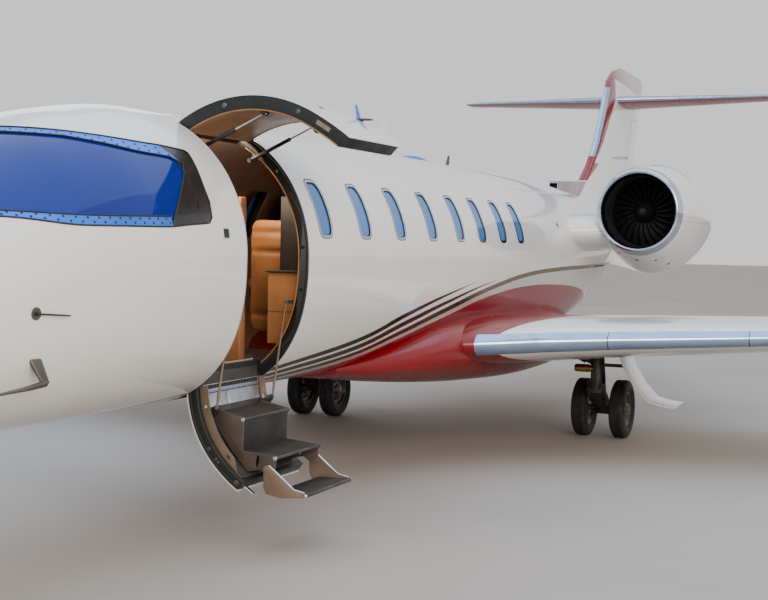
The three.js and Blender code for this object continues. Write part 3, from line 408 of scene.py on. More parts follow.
def skin_y(station, z):
    half, crown, keel, widest = body_row(station)
    power = UPPER_POWER if z > widest else LOWER_POWER
    height = crown - widest if z > widest else widest - keel
    return half * max(1 - abs((z - widest) / height) ** power, 0.0) ** (1 / power)


def on_skin(station, z, side=1, lift=0.0):
    point = at_station(station, side * skin_y(station, z), z)
    return point + body_normal(point)[0] * lift


def ring_of(station, grow=0.0):
    return [body_point(station, angle, grow) for angle in turns(BODY_SIDES)]


def stations_between(start, end, step):
    inner = [row[0] for row in BODY_ROWS if start < row[0] < end]
    marks = [start] + inner + [end]
    result = [start]
    for a, b in zip(marks, marks[1:]):
        pieces = max(1, round((b - a) / step))
        result += [a + (b - a) * (i + 1) / pieces for i in range(pieces)]
    return result


def give_skin_normals(obj):
    """Faces that lie on the fuselage skin get the skin's own normals, so that cut edges stay smooth."""
    mesh = obj.data
    answers = []
    for vertex in mesh.vertices:
        normal, steepness = body_normal(vertex.co)
        gap = abs(body_level(NOSE_X - vertex.co.x, vertex.co.y, vertex.co.z) - 1) / max(steepness, 1e-6)
        answers.append((gap < 0.0012, normal))
    normals = [Vector((0, 0, 0))] * len(mesh.loops)
    for polygon in mesh.polygons:
        on = all(answers[v][0] for v in polygon.vertices)
        on = on and polygon.normal.dot(answers[polygon.vertices[0]][1]) > 0.6
        if not on:
            continue
        for loop in polygon.loop_indices:
            normals[loop] = answers[mesh.loops[loop].vertex_index][1]
    mesh.normals_split_custom_set([tuple(n) for n in normals])
    return obj


def remember_place(obj):
    """Keeps where each point is before a leaf is turned open, for the paint scheme."""
    attribute = obj.data.attributes.new("paint_place", "FLOAT_VECTOR", "POINT")
    for i, vertex in enumerate(obj.data.vertices):
        attribute.data[i].vector = vertex.co
    return obj


def skinned(obj):
    """Gives a skin its smooth shading and keeps its rest place for the paint."""
    return remember_place(give_skin_normals(obj))


# Shader and node building


def feed(tree, target, source):
    if isinstance(source, bpy.types.NodeSocket):
        tree.links.new(source, target)
    else:
        target.default_value = source


def wire(tree, node, **inputs):
    """Links or sets the named inputs of a node."""
    for label, source in inputs.items():
        feed(tree, node.inputs[label.replace("_", " ")], source)


def add_node(tree, kind, settings=(), **inputs):
    node = tree.nodes.new(kind)
    for key, value in settings:
        setattr(node, key, value)
    wire(tree, node, **inputs)
    return node


def calc(tree, operation, *sources):
    node = add_node(tree, "ShaderNodeMath", (("operation", operation),))
    for target, source in zip(node.inputs, sources):
        feed(tree, target, source)
    return node.outputs[0]


def remap(tree, value, low, high, to_low=0.0, to_high=1.0, smooth=False):
    kind = "SMOOTHSTEP" if smooth else "LINEAR"
    node = add_node(tree, "ShaderNodeMapRange", (("interpolation_type", kind),))
    for target, source in zip(node.inputs, (value, low, high, to_low, to_high)):
        feed(tree, target, source)
    return node.outputs[0]


def blend_colours(tree, factor, first, second, way="MIX"):
    node = add_node(tree, "ShaderNodeMix", (("data_type", "RGBA"), ("blend_type", way)))
    for socket, source in ((0, factor), (6, first), (7, second)):
        feed(tree, node.inputs[socket], source)
    return node.outputs[2]


def noise(tree, vector, scale, detail):
    node = add_node(tree, "ShaderNodeTexNoise", Vector=vector, Scale=scale, Detail=detail, Roughness=0.5)
    return node.outputs["Fac"]


def between(tree, value, low, high):
    above = calc(tree, "GREATER_THAN", value, low)
    return calc(tree, "MULTIPLY", above, calc(tree, "LESS_THAN", value, high))


def rgb(red, green, blue):
    return (red, green, blue, 1.0)


def shade(colour, share):
    return rgb(*(c * share for c in colour[:3]))


# Places that patterns read


def object_place(tree):
    return add_node(tree, "ShaderNodeTexCoord").outputs["Object"]


def painted_place(tree):
    """Where a point is with the doors closed."""
    return add_node(tree, "ShaderNodeAttribute", (("attribute_name", "paint_place"),)).outputs["Vector"]


def brushed_place(tree):
    """Place squeezed along Y, so that a noise becomes long scratches."""
    return add_node(tree, "ShaderNodeMapping", Vector=object_place(tree), Scale=(4.0, 0.6, 4.0)).outputs[0]


def parts_of(tree, place):
    node = tree.nodes.new("ShaderNodeSeparateXYZ")
    feed(tree, node.inputs[0], place)
    return node.outputs


def station_parts(tree, place):
    """Station, Y and Z of a place."""
    x, y, z = parts_of(tree, place)
    return calc(tree, "SUBTRACT", NOSE_X, x), y, z


# Node groups

SOCKET_KINDS = {"f": "Float", "i": "Int", "c": "Color", "v": "Vector", "g": "Geometry", "m": "Material"}


def node_group(name, kind, inputs, outputs):
    """An empty node group. A socket is its name, its kind and, for some inputs, its starting value."""
    group = bpy.data.node_groups.new(name, kind)
    for way, sockets in (("INPUT", inputs), ("OUTPUT", outputs)):
        for label, letter, *start in sockets:
            socket_type = "NodeSocket" + SOCKET_KINDS[letter]
            socket = group.interface.new_socket(label, in_out=way, socket_type=socket_type)
            if start:
                socket.default_value = start[0]
    return group, group.nodes.new("NodeGroupInput").outputs, group.nodes.new("NodeGroupOutput").inputs


def use_group(tree, group, **values):
    return add_node(tree, "ShaderNodeGroup", (("node_tree", group),), **values).outputs


def make_mottle():
    """Two noises that vary a colour and a roughness and give a fine height."""
    inputs = [("Place", "v"), ("Scale", "f", 4.0), ("Light", "c"), ("Dark", "c"), ("Smoothest", "f", 0.2),
              ("Roughest", "f", 0.4)]
    outputs = [("Colour", "c"), ("Roughness", "f"), ("Height", "f")]
    group, given, out = node_group("mottle", "ShaderNodeTree", inputs, outputs)
    broad = noise(group, given["Place"], given["Scale"], 4.0)
    fine = noise(group, given["Place"], calc(group, "MULTIPLY", given["Scale"], 23.0), 2.0)
    share = remap(group, broad, 0.35, 0.65)
    both = calc(group, "MULTIPLY_ADD", fine, 0.35, calc(group, "MULTIPLY", share, 0.65))
    feed(group, out["Colour"], blend_colours(group, share, given["Light"], given["Dark"]))
    feed(group, out["Roughness"], remap(group, both, 0.0, 1.0, given["Smoothest"], given["Roughest"]))
    feed(group, out["Height"], fine)
    return group


def make_seams():
    """Thin dark lines across the length at even steps, for panel joints."""
    inputs = [("Place", "v"), ("Step", "f", 1.0), ("Shift", "f"), ("Width", "f", 0.003)]
    group, given, out = node_group("seams", "ShaderNodeTree", inputs, [("Line", "f")])
    moved = calc(group, "ADD", parts_of(group, given["Place"])[0], given["Shift"])
    inside = calc(group, "PINGPONG", moved, calc(group, "MULTIPLY", given["Step"], 0.5))
    feed(group, out["Line"], calc(group, "LESS_THAN", inside, given["Width"]))
    return group


# Angle below the horizon, at a station, of the lowest stripe's lower edge and of the red area's upper edge
STRIPE_LINE = (
    (2.0, -90), (3.0, -84), (4.0, -73), (4.9, -61.5), (5.9, -51.5), (6.6, -39.7), (7.45, -28.3), (8.4, -18.6),
    (9.4, -12.3), (10.4, -10.0), (11.3, -9.4), (12.6, -9.2), (17.0, -9.0),
)
RED_LINE = (
    (2.0, -95), (4.0, -80), (4.9, -67.5), (5.9, -56.0), (6.67, -41.6), (7.5, -30.5), (8.47, -21.6),
    (9.43, -18.2), (10.47, -19.2), (11.2, -22.5), (11.8, -31.0), (12.2, -46.0), (12.6, -75.0),
    (17.0, -95.0),
)
# Middle and half width of the two upper stripes as angles above the lowest one's edge, and the
# station where each ends
UPPER_STRIPES = ((7.4, 1.9, 8.5), (12.7, 1.6, 7.95))
LINE_SPAN = (2.0, 17.0)
ANGLE_SPAN = (-100.0, 0.0)


def float_curve(tree, value, rows):
    """Looks a station up in a table of (station, angle) rows."""
    node = tree.nodes.new("ShaderNodeFloatCurve")
    curve = node.mapping.curves[0]
    for i, (station, angle) in enumerate(rows):
        place = (share_between(station, *LINE_SPAN), share_between(angle, *ANGLE_SPAN))
        if i < 2:
            curve.points[i].location = place
        else:
            curve.points.new(*place)
    node.mapping.update()
    feed(tree, node.inputs["Value"], remap(tree, value, *LINE_SPAN))
    return remap(tree, node.outputs[0], 0.0, 1.0, *ANGLE_SPAN)


def make_livery():
    """White, three dark stripes that run into one gold line, a silver border and a red belly."""
    inputs = [("Place", "v")] + [(name, "c") for name in ("White", "Dark", "Gold", "Silver", "Red")]
    outputs = [("Colour", "c"), ("Metal", "f"), ("Coat", "f")]
    group, given, out = node_group("livery", "ShaderNodeTree", inputs, outputs)
    station, y, z = station_parts(group, given["Place"])
    drop = calc(group, "SUBTRACT", z, WIDEST_Z)
    angle = calc(group, "MULTIPLY", calc(group, "ARCTAN2", drop, calc(group, "ABSOLUTE", y)), 180 / pi)
    line = float_curve(group, station, STRIPE_LINE)
    red_line = float_curve(group, station, RED_LINE)
    offset = calc(group, "SUBTRACT", angle, line)
    closing = remap(group, station, 6.3, 8.5, 1.0, 0.6)
    low_stripe = between(group, offset, 0.0, remap(group, station, 6.4, 8.4, 3.5, 2.7))
    upper = []
    for middle, half, end in UPPER_STRIPES:
        centre = calc(group, "MULTIPLY", closing, middle)
        away = calc(group, "ABSOLUTE", calc(group, "SUBTRACT", offset, centre))
        upper.append(calc(group, "LESS_THAN", away, remap(group, station, 6.3, end, half, 0.0)))
    darks = calc(group, "MAXIMUM", *upper)
    stripes = calc(group, "MAXIMUM", darks, low_stripe)
    border = between(group, angle, red_line, line)
    red = calc(group, "LESS_THAN", angle, red_line)
    golden = remap(group, station, 7.7, 8.15, smooth=True)
    low_colour = blend_colours(group, golden, given["Dark"], given["Gold"])
    colour = given["White"]
    for mask, paint in ((border, given["Silver"]), (darks, given["Dark"]), (low_stripe, low_colour),
                        (red, given["Red"])):
        colour = blend_colours(group, mask, colour, paint)
    feed(group, out["Colour"], colour)
    feed(group, out["Metal"], calc(group, "MULTIPLY", calc(group, "MAXIMUM", stripes, border), 0.2))
    feed(group, out["Coat"], remap(group, calc(group, "MAXIMUM", red, stripes), 0.0, 1.0, 0.9, 0.12))
    return group


MOTTLE = make_mottle()
SEAMS = make_seams()
LIVERY = make_livery()


def mottled(name, light, dark, smoothest, roughest, scale, place=object_place):
    """A material whose colour and roughness drift, and the parts that other nodes are added to."""
    material = bpy.data.materials.new(name)
    material.use_nodes = True
    tree = material.node_tree
    shader = tree.nodes["Principled BSDF"]
    vector = place(tree)
    tone = use_group(tree, MOTTLE, Place=vector, Scale=scale, Light=light, Dark=dark, Smoothest=smoothest,
                     Roughest=roughest)
    wire(tree, shader, Base_Color=tone["Colour"], Roughness=tone["Roughness"])
    return material, tree, shader, vector, tone


def add_bump(tree, shader, height, strength, distance):
    bump = add_node(tree, "ShaderNodeBump", Strength=strength, Distance=distance, Height=height)
    wire(tree, shader, Normal=bump.outputs[0])


def surface(name, light, dark, smoothest, roughest, scale=3.0, metal=0.0, coat=0.0, bump=0.05, sheen=0.0):
    """A mottled finish: two near colours, a range of roughness and a fine bump."""
    material, tree, shader, _, tone = mottled(name, light, dark, smoothest, roughest, scale)
    wire(tree, shader, Metallic=metal, Coat_Weight=coat, Coat_Roughness=0.03, Sheen_Weight=sheen)
    add_bump(tree, shader, tone["Height"], bump, 0.001)
    return material


WHITE = rgb(0.84, 0.82, 0.78)
DIM_WHITE = rgb(0.80, 0.78, 0.74)
RED = rgb(0.235, 0.0005, 0.0045)
# Dark red painted into the fin's slot as its shade.
SLOT_SHADE_RED = rgb(0.06, 0.001, 0.004)
STRIPE_DARK = rgb(0.010, 0.008, 0.008)
STRIPE_GOLD = rgb(0.13, 0.08, 0.03)
SILVER = rgb(0.60, 0.57, 0.52)


def make_scheme_paint():
    material, tree, shader, place, tone = mottled(
        "scheme_paint", rgb(1, 1, 1), rgb(0.955, 0.95, 0.945), 0.16, 0.26, 1.3, painted_place)
    livery = use_group(tree, LIVERY, Place=place, White=WHITE, Dark=STRIPE_DARK, Gold=STRIPE_GOLD,
                       Silver=SILVER, Red=RED)
    colour = blend_colours(tree, 1.0, livery["Colour"], tone["Colour"], "MULTIPLY")
    wire(tree, shader, Base_Color=colour, Metallic=livery["Metal"], Coat_Weight=livery["Coat"],
         Specular_IOR_Level=0.3, Coat_Roughness=0.02)
    add_bump(tree, shader, tone["Height"], 0.02, 0.0005)
    return material


def glazing(name, colour, through):
    """Glass coloured with a painted sky reflection, whose colour drifts a little over the pane."""
    material, tree, shader, _, _ = mottled(name, colour, shade(colour, 0.8), 0.02, 0.05, 0.9)
    wire(tree, shader, Transmission_Weight=through, IOR=1.38)
    return material


def make_leather(name, colour, seam_step=0.0):
    """Leather with a cell grain, and level seams where a step is given."""
    material, tree, shader, place, tone = mottled(name, colour, shade(colour, 0.62), 0.38, 0.58, 3.5)
    height = add_node(tree, "ShaderNodeTexVoronoi", Vector=place, Scale=420.0).outputs["Distance"]
    if seam_step:
        level = calc(tree, "PINGPONG", parts_of(tree, place)[2], seam_step / 2)
        line = calc(tree, "LESS_THAN", level, 0.003)
        wire(tree, shader, Base_Color=blend_colours(tree, line, tone["Colour"], shade(colour, 0.2)))
        height = calc(tree, "SUBTRACT", height, calc(tree, "MULTIPLY", line, 3.0))
    wire(tree, shader, Sheen_Weight=0.1)
    add_bump(tree, shader, height, 0.25, 0.0006)
    return material


def make_tread_grip():
    """Dark rubber grip with fine ribs along the step."""
    material, tree, shader, place, _ = mottled(
        "tread_grip", rgb(0.028, 0.022, 0.020), rgb(0.016, 0.012, 0.012), 0.5, 0.75, 7.0)
    ribs = add_node(tree, "ShaderNodeTexWave", (("bands_direction", "X"),), Vector=place, Scale=60.0)
    add_bump(tree, shader, ribs.outputs["Fac"], 0.3, 0.0015)
    return material


def make_carpet():
    material, tree, shader, place, _ = mottled(
        "cabin_carpet", rgb(0.10, 0.075, 0.06), rgb(0.055, 0.04, 0.032), 0.85, 1.0, 9.0)
    wire(tree, shader, Sheen_Weight=0.4)
    add_bump(tree, shader, noise(tree, place, 600.0, 1.0), 0.5, 0.003)
    return material


def make_brushed(name, light, dark, seam_step=0.0, seam_shift=0.0):
    """Polished metal with fine long scratches, and joint lines along Y where a step is given."""
    material, tree, shader, _, tone = mottled(name, light, dark, 0.07, 0.17, 3.0, brushed_place)
    if seam_step:
        turn = add_node(tree, "ShaderNodeMapping", Vector=object_place(tree), Rotation=(0, 0, -pi / 2))
        seams = use_group(tree, SEAMS, Place=turn.outputs[0], Step=seam_step, Shift=seam_shift, Width=0.003)
        base = blend_colours(tree, seams["Line"], tone["Colour"], rgb(0.04, 0.04, 0.045))
        wire(tree, shader, Base_Color=base)
    wire(tree, shader, Metallic=1.0)
    add_bump(tree, shader, tone["Height"], 0.02, 0.0004)
    return material


def make_wing_paint():
    """White wing whose root is red, further out towards the back."""
    material, tree, shader, place, tone = mottled("wing_paint", WHITE, DIM_WHITE, 0.16, 0.28, 1.2)
    station, y, _ = station_parts(tree, place)
    edge = remap(tree, station, 7.5, 8.7, 1.12, 1.55)
    root = calc(tree, "LESS_THAN", calc(tree, "ABSOLUTE", y), edge)
    wire(tree, shader, Base_Color=blend_colours(tree, root, tone["Colour"], RED),
         Coat_Weight=remap(tree, root, 0.0, 1.0, 0.9, 0.12), Coat_Roughness=0.02)
    add_bump(tree, shader, tone["Height"], 0.02, 0.0005)
    return material


def make_fin_paint():
    """White fin with red cap, foot and band behind the leading edge, and a slot in its side that is painted
    in, dark red as painted shade.
    """
    material, tree, shader, place, tone = mottled("fin_paint", WHITE, DIM_WHITE, 0.16, 0.28, 1.2)
    station, _, height = station_parts(tree, place)
    lead = calc(tree, "ADD", remap(tree, height, 2.85, 3.19, 14.57, 14.93),
                remap(tree, height, 3.19, 3.8, 0.0, 0.42))
    back = calc(tree, "SUBTRACT", station, lead)
    band = calc(tree, "LESS_THAN", back, remap(tree, height, 2.9, 3.9, 0.12, 0.34))
    band = calc(tree, "MULTIPLY", band, calc(tree, "GREATER_THAN", height, 2.87))
    cap = calc(tree, "GREATER_THAN", height, remap(tree, station, 15.4, 17.7, 4.10, 3.98))
    foot_end = remap(tree, height, 2.6, 2.87, 14.3, 14.85)
    foot = calc(tree, "MULTIPLY", between(tree, height, 2.62, 2.87),
                calc(tree, "LESS_THAN", station, foot_end))
    mask = calc(tree, "MAXIMUM", calc(tree, "MAXIMUM", band, cap), foot)
    along = calc(tree, "MULTIPLY", calc(tree, "SUBTRACT", station, 16.125), 1.342)
    slot_half = calc(tree, "MULTIPLY", calc(tree, "SUBTRACT", 1.0, calc(tree, "MULTIPLY", along, along)),
                     0.028)
    slot_middle = remap(tree, station, 15.38, 16.87, 2.98, 3.08)
    off = calc(tree, "ABSOLUTE", calc(tree, "SUBTRACT", height, slot_middle))
    base = blend_colours(tree, mask, tone["Colour"], RED)
    # The slot is not cut; its dark red is painted shade.
    base = blend_colours(tree, calc(tree, "LESS_THAN", off, slot_half), base, SLOT_SHADE_RED)
    wire(tree, shader, Base_Color=base, Coat_Weight=1.0, Coat_Roughness=0.02)
    add_bump(tree, shader, tone["Height"], 0.02, 0.0005)
    return material


def make_cowl_paint(name, side):
    """White cowl with joints round it and one along its side."""
    material, tree, shader, place, tone = mottled(f"cowl_paint_{name}", WHITE, DIM_WHITE, 0.16, 0.28, 1.2)
    _, y, z = parts_of(tree, place)
    seams = use_group(tree, SEAMS, Place=place, Step=1.12, Shift=0.42, Width=0.0022)
    out = calc(tree, "MULTIPLY", calc(tree, "SUBTRACT", y, side * ENGINE_Y), float(side))
    angle = calc(tree, "ARCTAN2", calc(tree, "SUBTRACT", z, ENGINE_Z), out)
    angle = calc(tree, "MULTIPLY", angle, 180 / pi)
    split = calc(tree, "LESS_THAN", calc(tree, "ABSOLUTE", calc(tree, "ADD", angle, 12.0)), 0.22)
    line = calc(tree, "MAXIMUM", seams["Line"], split)
    base = blend_colours(tree, calc(tree, "MULTIPLY", line, 0.75), tone["Colour"], rgb(0.12, 0.12, 0.12))
    wire(tree, shader, Base_Color=base, Coat_Weight=1.0, Coat_Roughness=0.02)
    add_bump(tree, shader, calc(tree, "SUBTRACT", 1.0, line), 0.3, 0.001)
    return material


SCHEME = make_scheme_paint()
WHITE_PAINT = surface("white_gloss_paint", WHITE, rgb(0.80, 0.78, 0.74), 0.16, 0.28, 1.2, coat=1.0, bump=0.02)
RED_PAINT = surface("red_gloss_paint", RED, rgb(0.21, 0.0005, 0.004), 0.2, 0.32, 1.2, coat=0.15, bump=0.02)
SCOOP_PAINT = surface("scoop_paint", rgb(0.34, 0.22, 0.23), rgb(0.27, 0.17, 0.18), 0.25, 0.4, 3.0, coat=0.3)
POLISHED = make_brushed("polished_metal", rgb(0.62, 0.67, 0.74), rgb(0.50, 0.56, 0.65))
# The leading edges are bare polished metal; their blue is a painted sky reflection.
EDGE_METAL = make_brushed("polished_leading_edge", rgb(0.46, 0.58, 0.78), rgb(0.36, 0.48, 0.70), 1.05, 0.18)
# Blue that stands for the sky reflected in polished metal: painted sky reflection on the windshield
# retainers, and the same blue on the door antenna blade, the crown fairing and the scuff line.
SKY_REFLECTION_BLUE = surface(
    "windshield_retainer", rgb(0.035, 0.20, 0.80), rgb(0.025, 0.16, 0.70), 0.25, 0.38, 5.0, metal=0.4,
    coat=0.1
)
# The windshield's deep blue stands for the sky reflected in the glass and in the shade behind it: painted sky
# reflection. The cabin panes' pale blue is a painted sky reflection too.
SHIELD_GLASS = glazing("windshield_glass", rgb(0.006, 0.03, 0.34), 0.25)
CABIN_GLASS = glazing("cabin_glass", rgb(0.10, 0.30, 0.70), 0.30)
SEAL = surface("black_seal", rgb(0.02, 0.02, 0.022), rgb(0.012, 0.012, 0.014), 0.45, 0.65, 12.0, bump=0.15)
# The retainer's aft corner is the same polished metal as the rest; its brownish black is a painted reflection
# of dark surroundings.
DARK_REFLECTION_FRAME = surface(
    "retainer_dark_reflection", rgb(0.022, 0.016, 0.014), rgb(0.010, 0.008, 0.008), 0.2, 0.4, 9.0, coat=0.15
)
RUBBER = surface("tyre_rubber", rgb(0.028, 0.027, 0.026), rgb(0.015, 0.015, 0.015), 0.6, 0.85, 14.0,
                 bump=0.25)
RIM_METAL = surface("wheel_metal", rgb(0.20, 0.185, 0.165), rgb(0.12, 0.105, 0.09), 0.3, 0.5, 9.0, metal=0.85)
GEAR_METAL = surface("gear_dark_metal", rgb(0.075, 0.07, 0.065), rgb(0.035, 0.032, 0.03), 0.35, 0.6, 8.0,
                     metal=0.7)
CHROME = surface("bright_rod", rgb(0.82, 0.82, 0.83), rgb(0.7, 0.7, 0.72), 0.06, 0.14, 8.0, metal=1.0)
BRASS = surface("brass_fitting", rgb(0.55, 0.36, 0.12), rgb(0.36, 0.22, 0.06), 0.22, 0.4, 9.0, metal=1.0)
BRONZE = surface("bronze_plate", rgb(0.33, 0.235, 0.165), rgb(0.24, 0.165, 0.11), 0.3, 0.5, 6.0, metal=0.5)
CHEEK_METAL = surface("stair_cheek_metal", rgb(0.15, 0.115, 0.095), rgb(0.10, 0.075, 0.06), 0.35, 0.55, 6.0,
                      metal=0.4)
STRUT_BLACK = surface("black_strut", rgb(0.02, 0.02, 0.02), rgb(0.012, 0.012, 0.012), 0.3, 0.5, 14.0)
DOOR_EDGE = surface("door_edge_dark", rgb(0.010, 0.014, 0.013), rgb(0.006, 0.008, 0.008), 0.4, 0.6, 7.0)
FAN_METAL = surface("fan_metal", rgb(0.016, 0.017, 0.02), rgb(0.008, 0.008, 0.01), 0.4, 0.6, 9.0, metal=0.6)
DUCT_GREY = surface("duct_lining", rgb(0.022, 0.022, 0.026), rgb(0.012, 0.012, 0.014), 0.5, 0.7, 5.0,
                    metal=0.2)
HOT_METAL = surface("exhaust_metal", rgb(0.20, 0.17, 0.145), rgb(0.11, 0.095, 0.09), 0.3, 0.5, 4.0, metal=1.0)
LEATHER = make_leather("tan_leather", rgb(0.62, 0.27, 0.09))
CLOSET_LEATHER = make_leather("closet_leather", rgb(0.50, 0.22, 0.08), 0.33)
DARK_LEATHER = make_leather("dark_leather", rgb(0.05, 0.042, 0.038))
LINING = surface("cabin_lining", rgb(0.42, 0.25, 0.15), rgb(0.33, 0.19, 0.11), 0.6, 0.8, 6.0, sheen=0.2)
DOOR_LINING = surface("door_lining", rgb(0.30, 0.20, 0.12), rgb(0.22, 0.145, 0.085), 0.35, 0.55, 4.0)
TAN_TRIM = surface("tan_trim", rgb(0.40, 0.20, 0.075), rgb(0.29, 0.14, 0.05), 0.4, 0.6, 5.0)
AMBER = surface("amber_fitting", rgb(0.34, 0.30, 0.18), rgb(0.22, 0.19, 0.11), 0.3, 0.45, 30.0, metal=0.5)
DARK_TRIM = surface("dark_trim", rgb(0.05, 0.045, 0.042), rgb(0.03, 0.027, 0.026), 0.4, 0.6, 8.0)
SCUFF = surface("scuff_plate", rgb(0.62, 0.64, 0.66), rgb(0.42, 0.45, 0.5), 0.2, 0.4, 12.0, metal=0.9)
RED_LENS = surface("red_lens", rgb(0.35, 0.01, 0.01), rgb(0.2, 0.005, 0.005), 0.1, 0.2, 9.0, coat=1.0)
GREEN_LENS = surface("green_lens", rgb(0.01, 0.25, 0.06), rgb(0.005, 0.16, 0.04), 0.1, 0.2, 9.0, coat=1.0)
CARPET = make_carpet()
GRIP = make_tread_grip()
# What each material's pieces are called in the library, unless a piece says otherwise
SLOTS = {material: slot for slot, group in {
    "white_paint": (SCHEME, WHITE_PAINT),
    "red_paint": (RED_PAINT,),
    "polished_metal": (POLISHED, EDGE_METAL, SKY_REFLECTION_BLUE, SCUFF),
    "glass": (SHIELD_GLASS, CABIN_GLASS, RED_LENS, GREEN_LENS),
    "strut_black": (SEAL, DARK_REFLECTION_FRAME, STRUT_BLACK, DOOR_EDGE),
    "tyre": (RUBBER,),
    "wheel_metal": (RIM_METAL, CHROME),
    "gear_metal": (GEAR_METAL,),
    "bronze": (BRASS, BRONZE, CHEEK_METAL, AMBER),
    "engine_metal": (FAN_METAL, DUCT_GREY, HOT_METAL),
    "leather": (LEATHER, CLOSET_LEATHER, DARK_LEATHER, TAN_TRIM),
    "cabin_trim": (DARK_TRIM, DOOR_LINING, CARPET, GRIP),
}.items() for material in group}


# Repeats, made with geometry nodes


def repeat_tree(name, inputs):
    """A geometry node tree that takes a geometry and a material and gives a geometry."""
    inputs = [("Geometry", "g")] + inputs + [("Material", "m")]
    return node_group(name, "GeometryNodeTree", inputs, [("Geometry", "g")])


def close_tree(tree, geometry, given, out):
    realized = add_node(tree, "GeometryNodeRealizeInstances", Geometry=geometry)
    painted = add_node(tree, "GeometryNodeSetMaterial", Geometry=realized.outputs[0],
                       Material=given["Material"])
    feed(tree, out[0], add_node(tree, "GeometryNodeSetShadeSmooth", Geometry=painted.outputs[0]).outputs[0])


def make_rivet_tree():
    """Round heads along a line, each facing the way that the line's own facing attribute says."""
    inputs = [("Spacing", "f", 0.05), ("Radius", "f", 0.004), ("Height", "f", 0.002)]
    tree, given, out = repeat_tree("rivet_rows", inputs)
    curve = add_node(tree, "GeometryNodeMeshToCurve", Mesh=given["Geometry"])
    dots = add_node(tree, "GeometryNodeResampleCurve", (("mode", "LENGTH"),), Curve=curve.outputs[0],
                    Length=given["Spacing"])
    head = add_node(tree, "GeometryNodeMeshCylinder", Vertices=10, Radius=given["Radius"],
                    Depth=given["Height"])
    facing = add_node(tree, "GeometryNodeInputNamedAttribute", (("data_type", "FLOAT_VECTOR"),),
                      Name="facing")
    turn = add_node(tree, "FunctionNodeAlignRotationToVector", (("axis", "Z"),), Vector=facing.outputs[0])
    copies = add_node(tree, "GeometryNodeInstanceOnPoints", Points=dots.outputs[0], Instance=head.outputs[0],
                      Rotation=turn.outputs[0])
    close_tree(tree, copies.outputs[0], given, out)
    return tree


def make_round_tree():
    """Copies of the given piece turned round an axis through the centre."""
    inputs = [("Count", "i", 8), ("Axis", "v", (1.0, 0.0, 0.0)), ("Centre", "v", (0.0, 0.0, 0.0))]
    tree, given, out = repeat_tree("copies_round_axis", inputs)
    points = add_node(tree, "GeometryNodePoints", Count=given["Count"])
    share = calc(tree, "DIVIDE", add_node(tree, "GeometryNodeInputIndex").outputs[0], given["Count"])
    turn = add_node(tree, "ShaderNodeVectorMath", (("operation", "SCALE"),),
                    Vector=given["Axis"], Scale=calc(tree, "MULTIPLY", share, 2 * pi))
    copies = add_node(tree, "GeometryNodeInstanceOnPoints", Points=points.outputs[0],
                      Instance=given["Geometry"], Rotation=turn.outputs[0])
    placed = add_node(tree, "GeometryNodeTransform", Geometry=copies.outputs[0], Translation=given["Centre"])
    close_tree(tree, placed.outputs[0], given, out)
    return tree


def make_row_tree():
    """Copies of the given piece at even steps in a straight row."""
    inputs = [("Count", "i", 8), ("Start", "v", (0.0, 0.0, 0.0)), ("Step", "v", (0.1, 0.0, 0.0))]
    tree, given, out = repeat_tree("copies_in_row", inputs)
    line = add_node(tree, "GeometryNodeMeshLine", Count=given["Count"], Start_Location=given["Start"],
                    Offset=given["Step"])
    copies = add_node(tree, "GeometryNodeInstanceOnPoints", Points=line.outputs[0],
                      Instance=given["Geometry"])
    close_tree(tree, copies.outputs[0], given, out)
    return tree


RIVETS = make_rivet_tree()
ROUND = make_round_tree()
ROW = make_row_tree()


def run_tree(obj, tree, **values):
    modifier = obj.modifiers.new("repeat", "NODES")
    modifier.node_group = tree
    sockets = {item.name: item.identifier for item in tree.interface.items_tree if item.in_out == "INPUT"}
    for label, value in values.items():
        modifier[sockets[label.replace("_", " ")]] = value
    settle(obj)
    if "facing" in obj.data.attributes:
        obj.data.attributes.remove(obj.data.attributes["facing"])
    return crisp(obj, 35)


def facing_line(name, points, normals):
    """A bare line whose points know which way they face."""
    mesh = bpy.data.meshes.new(name)
    mesh.from_pydata([tuple(p) for p in points], [(i, i + 1) for i in range(len(points) - 1)], [])
    attribute = mesh.attributes.new("facing", "FLOAT_VECTOR", "POINT")
    for i, normal in enumerate(normals):
        attribute.data[i].vector = normal
    obj = bpy.data.objects.new(name, mesh)
    bpy.context.collection.objects.link(obj)
    return obj


def rivets_along(name, points, spacing, radius, height):
    line = facing_line(name, points, [body_normal(p)[0] for p in points])
    return run_tree(line, RIVETS, Spacing=spacing, Radius=radius, Height=height, Material=SEAL)


# Bands and patches that follow the fuselage skin


def ribbon(name, places, side, width, low, high):
    """A closed band round an outline of (station, z) places, with its width, lowest and highest lift."""
    count = len(places)
    middle = [sum(p[k] for p in places) / count for k in (0, 1)]
    rings = []
    for i in range(count):
        a, b = places[i - 1], places[(i + 1) % count]
        along = Vector((b[0] - a[0], b[1] - a[1])).normalized()
        inward = Vector((-along.y, along.x))
        if inward.dot(Vector((middle[0] - places[i][0], middle[1] - places[i][1]))) < 0:
            inward = -inward
        inner = (places[i][0] + inward.x * width, places[i][1] + inward.y * width)
        rings.append([
            on_skin(*places[i], side, low), on_skin(*places[i], side, high),
            on_skin(*inner, side, high), on_skin(*inner, side, low),
        ])
    return loft(name, rings, ring_shaped=True, degrees=50)


